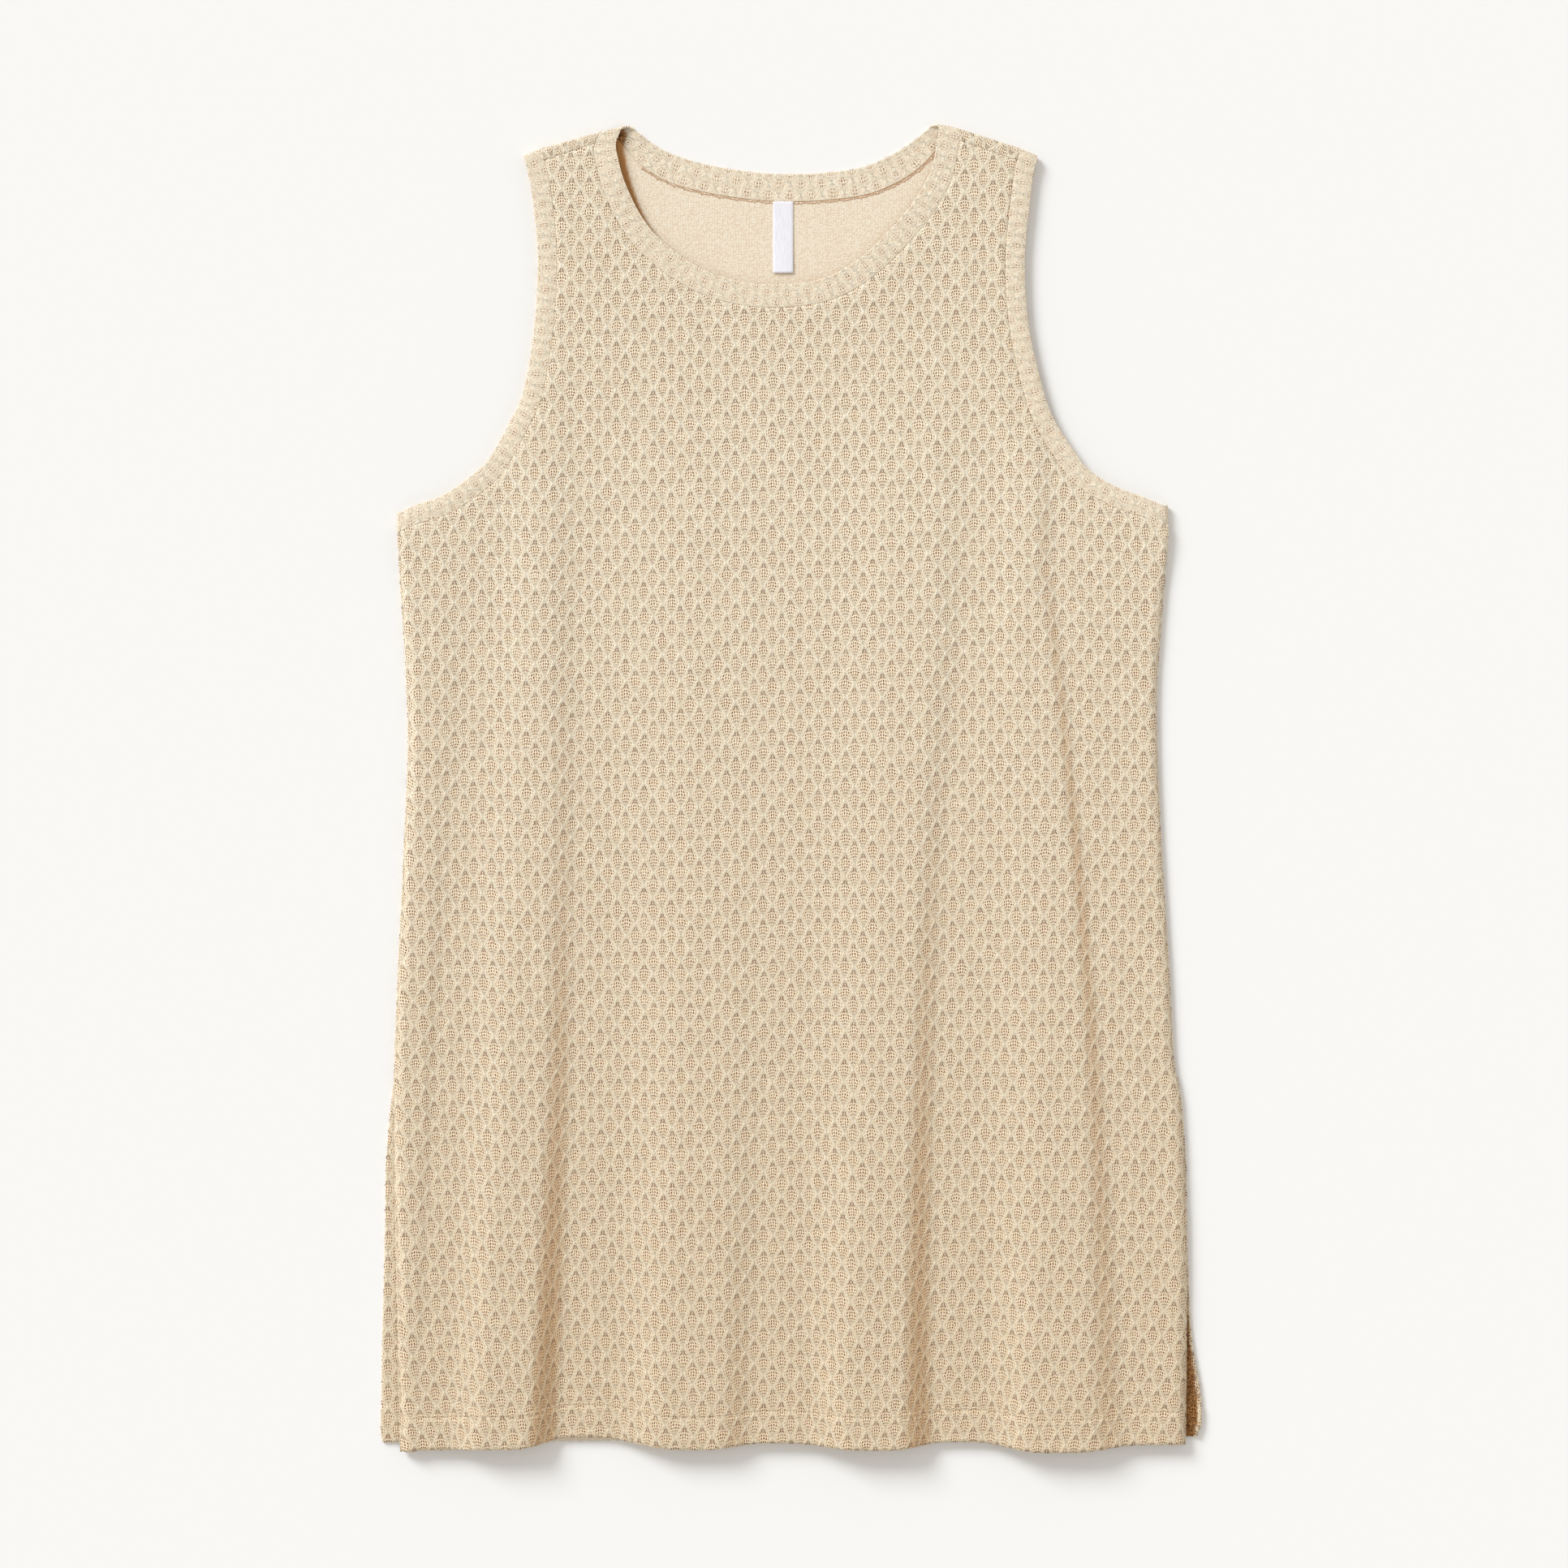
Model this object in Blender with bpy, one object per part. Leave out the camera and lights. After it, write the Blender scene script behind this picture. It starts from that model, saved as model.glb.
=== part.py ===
"""Sleeveless round-necked knitted cover-up, laid flat on its back.

Metres, +Z up, +Y from the hem to the neck. The tables are in millimetres, measured on the laid-out garment from its
centre front line (out or x, positive to the right) and from its hem line (up)."""

import math
from collections import namedtuple

import bpy
import numpy as np
from mathutils.geometry import delaunay_2d_cdt

MM = 0.001

# Cloth thicknesses
BODY_CLOTH = 1.6 * MM
BAND_CLOTH = 1.8 * MM
HEM_CLOTH = 2.4 * MM
LABEL_CLOTH = 1.0 * MM
SEAM_GAP = 0.3 * MM
# Measured along the shoulder, where the neck band's seam crosses it at a slant
SLANTED_GAP = 0.55 * MM

# Widths and depths of the made-up details
NECK_BAND_WIDTH = 15.5 * MM
NECK_BAND_WIDTH_BACK = 18.5 * MM
NECK_BAND_WIDTH_SHOULDER = 15.0 * MM
ARM_BAND_WIDTH = 13.0 * MM
HEM_DEPTH = 21.0 * MM
BACK_HEM_RISE = 4.0 * MM
SHOULDER_SEAM_FORWARD = 9.0 * MM
# The part of that length that the turn over the shoulder takes
SHOULDER_TURN = 3.0 * MM
VENT_TOP = 241.0 * MM
LABEL_WIDTH = 13.2 * MM
LABEL_LENGTH = 47.9 * MM
LABEL_CENTRE = 1.0 * MM
LABEL_LIFT = 1.2 * MM

# Bands: the share of their length over which they turn to their ends' directions, and these, in degrees down
BAND_END = 0.14
NECK_BAND_SLOPE = 12
ARM_BAND_SLOPE = 22
# How fast the neck band widens off the shoulders
NECK_BAND_WIDENING = 1.8

# Heights of the front's inner side above the surface
SIDE_SEAM_HEIGHT = BODY_CLOTH + SEAM_GAP
HEM_HEIGHT = HEM_CLOTH + SEAM_GAP
ARMHOLE_HEIGHT = 4.2 * MM
CHEST_HEIGHT = 5.0 * MM
SHOULDER_HEIGHT = 4.4 * MM
EDGE_ROUNDING = 12.0 * MM
# Where one of these heights passes into another
HEM_START, HEM_END = 26.0 * MM, 36.0 * MM
UNDERARM_START, UNDERARM_END = 575.0 * MM, 618.0 * MM
SHOULDER_START = 880.0 * MM
# The front stands away from the back beside the left neck point.
NECK_LIFT = 5.0 * MM
NECK_LIFT_CENTRE = (-108.0 * MM, 866.0 * MM)
NECK_LIFT_REACH = (17.0 * MM, 30.0 * MM)

# Spacing of the solids' points
OUTLINE_STEP = 10.0 * MM
ROW_STEP = 26.0 * MM
COLUMN_STEP = 13.0 * MM
BACK_STEP = 46.0 * MM
HEM_STEP = 1.2 * MM
EDGE_COLUMNS = (5.0 * MM, 12.0 * MM)
EDGE_CLEAR = 17.0 * MM
LINE_CLEAR = 4.0 * MM
VENT_CLEAR = 12.0 * MM
SIDE_START = 30.0 * MM
FRONT_ROWS_START = HEM_DEPTH + 24 * MM
BACK_ROWS_START = HEM_DEPTH + 30 * MM
ROWS_END = 890.0 * MM
LEFTMOST, RIGHTMOST = -270.0 * MM, 280.0 * MM
SLOPE_STEP = 1.5 * MM
CURVE_POINTS = 24
HEM_POINTS_A_FOLD = 4
BACK_HEM_POINTS = 12
TURN_STEPS = 6
SHOULDER_COLUMNS = 5
BAND_COLUMNS = np.array((0, 0.5, 1))
LABEL_COLUMNS = np.array((-0.5, -0.2, 0.2, 0.5))
LABEL_ROWS = 9

Side = namedtuple("Side", "up left right")
FRONT_SIDES = (
    Side(0, -257.9, 273.2),
    Side(60, -259.6, 274.0),
    Side(150, -261.3, 274.1),
    Side(232, -262.4, 270.6),
    Side(262, -261.8, 265.4),
    Side(320, -259.6, 262.4),
    Side(400, -255.8, 257.4),
    Side(470, -252.9, 254.2),
    Side(520, -254.0, 254.2),
    Side(585, -258.0, 259.1),
    Side(619, -259.8, 261.5),
)
# Below the vents the back is a little wider than the front.
BACK_VENTS = (
    Side(4, -270.0, 281.0),
    Side(14, -271.2, 284.0),
    Side(35, -270.6, 283.0),
    Side(76, -270.1, 276.9),
    Side(145, -268.4, 274.3),
    Side(189, -267.9, 273.6),
    Side(232, -264.6, 270.6),
)

Arm = namedtuple("Arm", "left left_up right right_up")
ARMHOLE = (
    Arm(257.4, 633.3, 258.6, 638.0),
    Arm(248.2, 637.9, 246.0, 643.0),
    Arm(227.2, 645.7, 224.0, 651.6),
    Arm(205.2, 661.7, 206.8, 662.8),
    Arm(195.8, 672.7, 199.1, 672.7),
    Arm(183.7, 694.7, 185.0, 694.7),
    Arm(174.4, 716.7, 176.7, 716.7),
    Arm(167.2, 760.7, 167.0, 760.7),
    Arm(165.0, 804.7, 164.6, 804.7),
    Arm(168.0, 842.0, 167.9, 842.0),
    Arm(171.6, 863.0, 170.4, 862.0),
    Arm(174.4, 872.0, 173.0, 872.0),
)

Neck = namedtuple("Neck", "x up")
NECK_FRONT = (
    Neck(-108.9, 891.5),
    Neck(-112.0, 882.0),
    Neck(-110.6, 873.0),
    Neck(-106.2, 857.0),
    Neck(-95.7, 835.0),
    Neck(-81.4, 817.3),
    Neck(-56.0, 799.0),
    Neck(-29.0, 789.5),
    Neck(-2.0, 787.3),
    Neck(28.0, 791.5),
    Neck(52.0, 804.5),
    Neck(73.7, 825.0),
    Neck(89.7, 844.3),
    Neck(100.7, 864.1),
    Neck(104.6, 881.0),
    Neck(106.4, 893.5),
)
NECK_BACK = (
    Neck(-98.5, 891.5),
    Neck(-83.0, 880.3),
    Neck(-67.7, 873.6),
    Neck(-51.2, 869.0),
    Neck(-32.0, 865.4),
    Neck(-12.0, 863.1),
    Neck(6.0, 862.4),
    Neck(27.0, 863.2),
    Neck(53.4, 866.8),
    Neck(75.4, 876.0),
    Neck(90.0, 885.5),
    Neck(100.0, 893.5),
)

# The folds of the front run from the hem to the chest. x is where a crest or a foot lies and height is its height
# above the surface, at the hem, at FOLD_MIDDLE and at FOLD_TOP. hem is how far up the edge is drawn there.
FOLD_MIDDLE = 300.0 * MM
FOLD_TOP = 600.0 * MM
FOLD_END = 760.0 * MM
Fold = namedtuple("Fold", "name x x_middle x_top height height_middle height_top hem")
FOLDS = (
    Fold("left swell", -256.0, -246.0, -239.0, 6.4, 6.5, 5.6, -2.2),
    Fold("left hollow", -240.0, -227.0, -197.0, 6.2, 4.6, 4.4, -0.6),
    Fold("first crest", -188.7, -169.4, -162.3, 14.5, 9.5, 7.5, 0.8),
    Fold("first foot", -136.4, -130.9, -133.7, 2.6, 4.2, 4.6, 7.5),
    Fold("second crest", -59.4, -48.4, -45.7, 11.5, 8.0, 6.0, 0.3),
    Fold("second foot", -4.4, -0.6, -1.7, 6.0, 6.6, 5.8, 3.9),
    Fold("third crest", 63.3, 78.7, 97.4, 14.5, 10.5, 7.8, 0.2),
    Fold("third foot", 120.5, 115.0, 133.1, 4.0, 5.6, 5.4, 4.6),
    Fold("fourth crest", 185.4, 195.3, 167.8, 15.5, 9.8, 8.2, -1.5),
    Fold("fourth foot", 254.1, 219.5, 186.5, 7.0, 4.6, 4.8, 3.0),
)

# Linear colours
CREAM_KNIT = (0.72, 0.59, 0.43)
CREAM_BAND = (0.74, 0.62, 0.46)
WHITE_SATIN = (0.92, 0.91, 0.93)


def table(rows, *columns):
    """The named columns of a table, in metres, as an array of points."""
    return np.array([[getattr(row, name) for name in columns] for row in rows]) * MM


def smooth_curve(points, step):
    """A curve through the points, as points about step apart."""
    ends = np.vstack([2 * points[0] - points[1], points, 2 * points[-1] - points[-2]])
    a, b, c, d = ends[:-3], ends[1:-2], ends[2:-1], ends[3:]
    fine = []
    for t in np.linspace(0, 1, CURVE_POINTS, endpoint=False):
        fine.append(0.5 * (2 * b + (c - a) * t + (2 * a - 5 * b + 4 * c - d) * t**2 + (3 * b - a - 3 * c + d) * t**3))
    fine = np.vstack([np.stack(fine, 1).reshape(-1, 2), points[-1]])
    length = np.concatenate([[0], np.cumsum(np.linalg.norm(np.diff(fine, axis=0), axis=1))])
    count = max(2, round(length[-1] / step) + 1)
    places = np.linspace(0, length[-1], count)
    return np.stack([np.interp(places, length, fine[:, k]) for k in (0, 1)], 1)


def distance_to(points, line):
    """Each point's distance to a polyline."""
    start, run = line[:-1], np.diff(line, axis=0)
    away = points[:, None] - start
    share = np.clip((away * run).sum(-1) / (run * run).sum(-1), 0, 1)
    return np.linalg.norm(away - share[..., None] * run, axis=-1).min(1)


def inside(points, outline):
    """Which points lie inside a closed outline."""
    x, y = points[:, :1], points[:, 1:]
    x0, y0 = outline.T
    x1, y1 = np.roll(outline, -1, 0).T
    crosses = (y0 > y) != (y1 > y)
    at = x0 + (y - y0) / np.where(y1 == y0, 1, y1 - y0) * (x1 - x0)
    return (crosses & (x < at)).sum(1) % 2 == 1


def ease(share):
    """0 to 1, straight off the edge and level at the end."""
    return np.sin(np.clip(share, 0, 1) * math.pi / 2)


def swing(share):
    """0 to 1, level at both ends."""
    return (1 - np.cos(np.clip(share, 0, 1) * math.pi)) / 2


def along_fold(at_hem, at_middle, at_top, up):
    """A fold's value at a height, on a smooth line through its three given ones."""
    t = np.clip(up, 0, FOLD_TOP) / FOLD_MIDDLE
    return at_hem * (t - 1) * (t - 2) / 2 + at_middle * t * (2 - t) + at_top * t * (t - 1) / 2


def fold_places(up):
    """Where the crests and feet of the folds lie at a height."""
    return np.stack([along_fold(fold.x, fold.x_middle, fold.x_top, up) * MM for fold in FOLDS], -1)


def between_folds(x, places, values):
    """Swings from each crest's or foot's value to the next one's."""
    result = values[..., 0]
    for k in range(len(FOLDS) - 1):
        share = (x - places[..., k]) / (places[..., k + 1] - places[..., k])
        result = result + (values[..., k + 1] - values[..., k]) * swing(share)
    return result


def hem_line(x):
    """How far up the front's hem edge lies."""
    places = np.array([fold.x for fold in FOLDS]) * MM
    rises = np.array([fold.hem for fold in FOLDS]) * MM
    return between_folds(x, places, rises)


# The outline of the laid-out garment, each line from the hem towards the shoulders or from left to right
SIDES = (-1, 1)
side_rows = table(FRONT_SIDES, "up", "left", "right")
vent_rows = table(BACK_VENTS, "up", "left", "right")
arm_rows = {-1: table(ARMHOLE, "left", "left_up") * (-1, 1), 1: table(ARMHOLE, "right", "right_up")}
side_curve = {side: smooth_curve(side_rows[:, (1 if side < 0 else 2, 0)], ROW_STEP) for side in SIDES}
arm_curve = {side: smooth_curve(arm_rows[side], OUTLINE_STEP) for side in SIDES}
neck_front = smooth_curve(table(NECK_FRONT, "x", "up"), OUTLINE_STEP)
neck_back = smooth_curve(table(NECK_BACK, "x", "up"), OUTLINE_STEP)
free_edges = [np.vstack([side_curve[side], arm_curve[side]]) for side in SIDES]


def neck_lift(points):
    """How far the front stands away from the back."""
    away = (points - NECK_LIFT_CENTRE) / NECK_LIFT_REACH
    return NECK_LIFT * np.exp(-(away**2).sum(-1))


def folded_height(points):
    """The height of the front's inner side above the surface, for points (x, up), without its lift at the neck."""
    x, up = points.T
    heights = [along_fold(fold.height, fold.height_middle, fold.height_top, up) * MM for fold in FOLDS]
    folded = between_folds(x, fold_places(up), np.stack(heights, -1))
    off_shoulder = swing((SHOULDER_START - up) / (SHOULDER_START - FOLD_END))
    plain = SHOULDER_HEIGHT + (CHEST_HEIGHT - SHOULDER_HEIGHT) * off_shoulder
    height = plain + (folded - plain) * swing((FOLD_END - up) / (FOLD_END - FOLD_TOP))
    at_underarm = swing((up - UNDERARM_START) / (UNDERARM_END - UNDERARM_START))
    edge = SIDE_SEAM_HEIGHT + (ARMHOLE_HEIGHT - SIDE_SEAM_HEIGHT) * at_underarm
    for line in free_edges:
        height = edge + (height - edge) * ease(distance_to(points, line) / EDGE_ROUNDING)
    on_hem = swing((HEM_END - up) / (HEM_END - HEM_START))
    return np.maximum(height, SIDE_SEAM_HEIGHT + (HEM_HEIGHT - SIDE_SEAM_HEIGHT) * on_hem)


def front_height(points):
    """The height of the front's inner side above the surface."""
    return folded_height(points) + neck_lift(points)


def front_normal(points):
    """The directions in which the front's wall is thick: away from its folds."""
    along_x = folded_height(points + (SLOPE_STEP, 0)) - folded_height(points - (SLOPE_STEP, 0))
    along_y = folded_height(points + (0, SLOPE_STEP)) - folded_height(points - (0, SLOPE_STEP))
    normal = np.column_stack([-along_x, -along_y, np.full(len(points), 2 * SLOPE_STEP)])
    return normal / np.linalg.norm(normal, axis=1)[:, None]


def front_wall(points, wall):
    """Outer and inner points of a wall that lies on the front's height."""
    inner = np.column_stack([points, front_height(points)])
    return inner + front_normal(points) * np.reshape(wall, (-1, 1)), inner


def back_wall(points, wall):
    """Outer and inner points of a wall that lies flat on the surface."""
    outer = np.column_stack([points, np.zeros(len(points))])
    return outer, outer + np.column_stack([np.zeros((len(points), 2)), np.full(len(points), wall)])


def turn_wall(front, back, toward, wall):
    """Outer and inner rows of points of a wall that turns over from the front to the back, towards a direction."""
    radius = ((front_height(front) - wall) / 2)[:, None]
    rows = []
    for angle in np.linspace(math.pi, 0, TURN_STEPS + 1)[1:-1]:
        middle = front + (back - front) * (1 + math.cos(angle)) / 2
        middle = np.column_stack([middle, wall + radius])
        normal = np.array((toward[0] * math.sin(angle), toward[1] * math.sin(angle), -math.cos(angle)))
        rows.append((middle + normal * (radius + wall), middle + normal * radius))
    return rows


def across(curve, width, first, last, turn):
    """Steps from a curve to the other edge of a band along it, turned to the given directions at its ends."""
    run = np.gradient(curve, axis=0)
    run /= np.linalg.norm(run, axis=1)[:, None]
    normal = np.column_stack([run[:, 1], -run[:, 0]]) * turn
    share = np.linspace(0, 1, len(curve))[:, None]
    normal = normal + (np.array(first) - normal) * (1 - swing(share / BAND_END))
    normal = normal + (np.array(last) - normal) * (1 - swing((1 - share) / BAND_END))
    return normal / np.linalg.norm(normal, axis=1)[:, None] * np.reshape(width, (-1, 1))


def slope(degrees, side):
    """A direction out from the middle and down the shoulder."""
    return side * math.cos(math.radians(degrees)), -math.sin(math.radians(degrees))


def neck_across(curve, middle_width):
    """The neck band's steps: it is narrower on the shoulders."""
    widened = swing(NECK_BAND_WIDENING * np.sin(np.linspace(0, 1, len(curve)) * math.pi))
    width = NECK_BAND_WIDTH_SHOULDER + (middle_width - NECK_BAND_WIDTH_SHOULDER) * widened
    return across(curve, width, slope(NECK_BAND_SLOPE, -1), slope(NECK_BAND_SLOPE, 1), 1)


arm_steps = {}
for side in SIDES:
    inward = np.array(slope(ARM_BAND_SLOPE, side)) * -1
    arm_steps[side] = across(arm_curve[side], ARM_BAND_WIDTH, (0, -1), inward, -side)
neck_front_steps = neck_across(neck_front, NECK_BAND_WIDTH)
neck_back_steps = neck_across(neck_back, NECK_BAND_WIDTH_BACK)


def panel_edge(curve, steps, end_gap):
    """A panel's edge along a band: the band's seam, moved a gap further, and another at its ends."""
    share = np.linspace(0, 1, len(curve))
    gap = SEAM_GAP + (end_gap - SEAM_GAP) * (2 - swing(share / BAND_END) - swing((1 - share) / BAND_END))
    return curve + steps * (1 + gap / np.linalg.norm(steps, axis=1))[:, None]


def shortened(line, length):
    """A line without the last stretch of it."""
    run = np.linalg.norm(np.diff(line, axis=0), axis=1)
    while run[-1] <= length:
        length -= run[-1]
        line, run = line[:-1], run[:-1]
    return np.vstack([line[:-1], line[-1] + (line[-2] - line[-1]) * length / run[-1]])


arm_edge = {side: panel_edge(arm_curve[side], arm_steps[side], SEAM_GAP) for side in SIDES}
neck_front_edge = panel_edge(neck_front, neck_front_steps, SLANTED_GAP)
neck_back_edge = panel_edge(neck_back, neck_back_steps, SLANTED_GAP)
hem_places = [side_rows[0, 1], *[fold.x * MM for fold in FOLDS[1:]], side_rows[0, 2]]


def material(name, colour, roughness):
    made = bpy.data.materials.new(name)
    made.use_nodes = True
    shader = made.node_tree.nodes["Principled BSDF"]
    shader.inputs["Base Color"].default_value = (*colour, 1)
    shader.inputs["Roughness"].default_value = roughness
    shader.inputs["Metallic"].default_value = 0
    made.diffuse_color = (*colour, 1)
    return made


def fill(outline, points, lines=()):
    """Triangles, counter-clockwise, of a closed outline with points and lines inside it."""
    edges = [(k, (k + 1) % len(outline)) for k in range(len(outline))]
    every = [outline]
    count = len(outline)
    for line in lines:
        edges += [(count + k, count + k + 1) for k in range(len(line) - 1)]
        every.append(line)
        count += len(line)
    points = points[inside(points, outline)]
    for line in (np.vstack([outline, outline[:1]]), *lines):
        points = points[distance_to(points, line) > LINE_CLEAR]
    made = delaunay_2d_cdt([tuple(p) for p in np.vstack([*every, points])], edges, [], 1, 1e-7)
    flat = np.array([tuple(v) for v in made[0]])
    faces = np.array(made[2])
    a, b, c = (flat[faces[:, k]] for k in range(3))
    area = (b[:, 0] - a[:, 0]) * (c[:, 1] - a[:, 1]) - (c[:, 0] - a[:, 0]) * (b[:, 1] - a[:, 1])
    faces[area < 0] = faces[area < 0][:, ::-1]
    used, order = np.unique(faces, return_inverse=True)
    return flat[used], [tuple(face) for face in order.reshape(faces.shape)]


def strip(first, second):
    """Faces between two rows of the same number of points."""
    return [(first[k], first[k + 1], second[k + 1], second[k]) for k in range(len(first) - 1)]


def walled(name, outer, inner, faces, finish):
    """A closed solid of cloth. The faces' normals point to the outer side."""
    count = len(outer)
    used = {}
    for face in faces:
        for a, b in zip(face, face[1:] + face[:1]):
            used[(a, b)] = True
    rim = [(b, a, a + count, b + count) for a, b in used if (b, a) not in used]
    lining = [tuple(k + count for k in reversed(face)) for face in faces]
    mesh = bpy.data.meshes.new(name)
    mesh.from_pydata([tuple(p) for p in np.vstack([outer, inner])], [], [*faces, *lining, *rim])
    mesh.materials.append(finish)
    mesh.shade_smooth()
    made = bpy.data.objects.new(name, mesh)
    bpy.context.collection.objects.link(made)
    return made


def ring(name, stations, finish):
    """A band: stations of outer and inner points, from its free edge to its seam, all the way round."""
    width = len(stations[0][0])
    outer = np.vstack([station[0] for station in stations])
    inner = np.vstack([station[1] for station in stations])
    rows = [list(range(k * width, (k + 1) * width)) for k in range(len(stations))]
    faces = [face for first, second in zip(rows, rows[1:] + rows[:1]) for face in strip(first, second)]
    return walled(name, outer, inner, faces, finish)


def stations_along(curve, steps, lay, wall):
    """Stations of a band along a curve, three points wide, laid by front_wall or back_wall."""
    return [lay(start + np.outer(BAND_COLUMNS, step), wall) for start, step in zip(curve, steps)]


def band_turn(front, front_step, back, back_step, toward):
    """A band's stations where it turns over."""
    ends = front + np.outer(BAND_COLUMNS, front_step), back + np.outer(BAND_COLUMNS, back_step)
    return turn_wall(*ends, toward, BAND_CLOTH)


def body_points():
    """The front's points: rows across it, with a column on each fold line and others between and beside them."""
    outline = {side: np.vstack([side_curve[side], arm_edge[side]]) for side in SIDES}
    counts = [max(1, round(gap / COLUMN_STEP)) for gap in np.diff(fold_places(np.array(FOLD_MIDDLE)))]
    points = []
    for up in np.arange(FRONT_ROWS_START, ROWS_END, ROW_STEP):
        left, right = (np.interp(up, outline[side][:, 1], outline[side][:, 0]) for side in SIDES)
        places = fold_places(np.array(up))
        row = [np.linspace(a, b, n, endpoint=False) for a, b, n in zip(places, places[1:], counts)]
        row = np.concatenate([*row, np.arange(places[-1], right, COLUMN_STEP)])
        row = row[(row > left + EDGE_CLEAR) & (row < right - EDGE_CLEAR)]
        edges = [(left + column, right - column) for column in EDGE_COLUMNS]
        points += [(x, up) for x in (*row, *edges[0], *edges[1])]
    return np.array(points)


def grid_points():
    """Points all over the back, in staggered rows."""
    points = []
    for k, up in enumerate(np.arange(BACK_ROWS_START, ROWS_END, BACK_STEP)):
        points += [(x, up) for x in np.arange(LEFTMOST + BACK_STEP / 2 * (k % 2), RIGHTMOST, BACK_STEP)]
    return np.array(points)


def shoulder_row(arm_end, neck_end):
    """Points along a shoulder from the armhole to the neck, between two given ones."""
    return arm_end + np.outer(np.linspace(0, 1, SHOULDER_COLUMNS), neck_end - arm_end)


# Front: one cut piece, thicker where its hem is turned up
def front_panel(finish):
    flap = SHOULDER_SEAM_FORWARD - SHOULDER_TURN + SEAM_GAP / 2
    neck = shortened(shortened(neck_front_edge, flap)[::-1], flap)
    arms = {side: shortened(arm_edge[side], flap) for side in SIDES}
    shoulders = {
        1: shoulder_row(arms[1][-1], neck[0])[1:-1],
        -1: shoulder_row(arms[-1][-1], neck[-1])[1:-1],
    }
    parts = [np.linspace(a, b, HEM_POINTS_A_FOLD, endpoint=False) for a, b in zip(hem_places, hem_places[1:])]
    x = np.concatenate(parts)
    hem = np.column_stack([x, hem_line(x)])
    sides = {}
    lines = []
    for side in SIDES:
        curve = side_curve[side]
        start = hem[0 if side < 0 else -1]
        steps = np.array((HEM_DEPTH, HEM_DEPTH + HEM_STEP)) + start[1]
        low = np.column_stack([np.interp(steps, curve[:, 1], curve[:, 0]), steps])
        corner = (curve[-1, 0], arm_edge[side][0, 1])
        sides[side] = np.vstack([low, curve[curve[:, 1] > SIDE_START], [corner]])
    for k, depth in enumerate((HEM_DEPTH, HEM_DEPTH + HEM_STEP)):
        lines.append(np.vstack([sides[-1][k], hem[2:-2] + (0, depth), sides[1][k]]))
    outline = [hem, sides[1], arms[1], shoulders[1], neck, shoulders[-1][::-1], arms[-1][::-1], sides[-1][::-1]]
    points, faces = fill(np.vstack(outline), body_points(), lines)
    on_hem = points[:, 1] - hem_line(points[:, 0]) < HEM_DEPTH + HEM_STEP / 2
    outer, inner = front_wall(points, np.where(on_hem, HEM_CLOTH, BODY_CLOTH))
    return walled("front_panel", outer, inner, faces, finish)


# Back: flat on the surface, and over the shoulders to the seams in front
def back_panel(finish):
    x = np.linspace(*vent_rows[0, 1:], BACK_HEM_POINTS)[1:-1]
    hem_up = vent_rows[0, 0] + (x - x[0]) / (x[-1] - x[0]) * BACK_HEM_RISE
    hem = np.column_stack([x, hem_up])
    sides, rows = {}, {}
    for side in SIDES:
        vent = smooth_curve(vent_rows[:, (1 if side < 0 else 2, 0)], ROW_STEP)
        low = vent + (0, BACK_HEM_RISE if side > 0 else 0)
        curve = side_curve[side][side_curve[side][:, 1] > VENT_TOP + VENT_CLEAR]
        corner = (side_curve[side][-1, 0], arm_edge[side][0, 1])
        sides[side] = np.vstack([low[low[:, 1] < VENT_TOP], curve, [corner]])
        neck_end = neck_back_edge[-1 if side > 0 else 0]
        rows[side] = shoulder_row(arm_edge[side][-1], neck_end)
    outline = [hem, sides[1], arm_edge[1][:-1], rows[1], neck_back_edge[::-1][1:-1]]
    outline += [rows[-1][::-1], arm_edge[-1][::-1][1:], sides[-1][::-1]]
    lines = [hem + (0, depth) for depth in (HEM_DEPTH, HEM_DEPTH + HEM_STEP)]
    points, faces = fill(np.vstack(outline), grid_points(), lines)
    on_hem = points[:, 1] - np.interp(points[:, 0], x, hem_up) < HEM_DEPTH + HEM_STEP / 2
    outer, inner = back_wall(points, BODY_CLOTH)
    inner[on_hem, 2] = HEM_CLOTH
    faces = [face[::-1] for face in faces]
    for side in SIDES:
        flap = SHOULDER_SEAM_FORWARD - SHOULDER_TURN - SEAM_GAP / 2
        neck = neck_front_edge if side > 0 else neck_front_edge[::-1]
        front = shoulder_row(arm_edge[side][-1], neck[-1])
        seam = shoulder_row(shortened(arm_edge[side], flap)[-1], shortened(neck, flap)[-1])
        row = [int(np.argmin(np.linalg.norm(points - p, axis=1))) for p in rows[side]]
        turn = turn_wall(front, rows[side], (0, 1), BODY_CLOTH)
        for new_outer, new_inner in [*turn[::-1], front_wall(front, BODY_CLOTH), front_wall(seam, BODY_CLOTH)]:
            added = list(range(len(outer), len(outer) + len(new_outer)))
            faces += [face[::side] for face in strip(row, added)]
            outer, inner = np.vstack([outer, new_outer]), np.vstack([inner, new_inner])
            row = added
    return walled("back_panel", outer, inner, faces, finish)


# Neck band: a doubled strip of the knit round the neck
def neck_band(finish):
    stations = stations_along(neck_front, neck_front_steps, front_wall, BAND_CLOTH)
    stations += band_turn(neck_front[-1], neck_front_steps[-1], neck_back[-1], neck_back_steps[-1], (0, 1))
    stations += stations_along(neck_back[::-1], neck_back_steps[::-1], back_wall, BAND_CLOTH)
    stations += band_turn(neck_front[0], neck_front_steps[0], neck_back[0], neck_back_steps[0], (0, 1))[::-1]
    return ring("neck_band", stations, finish)


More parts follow.
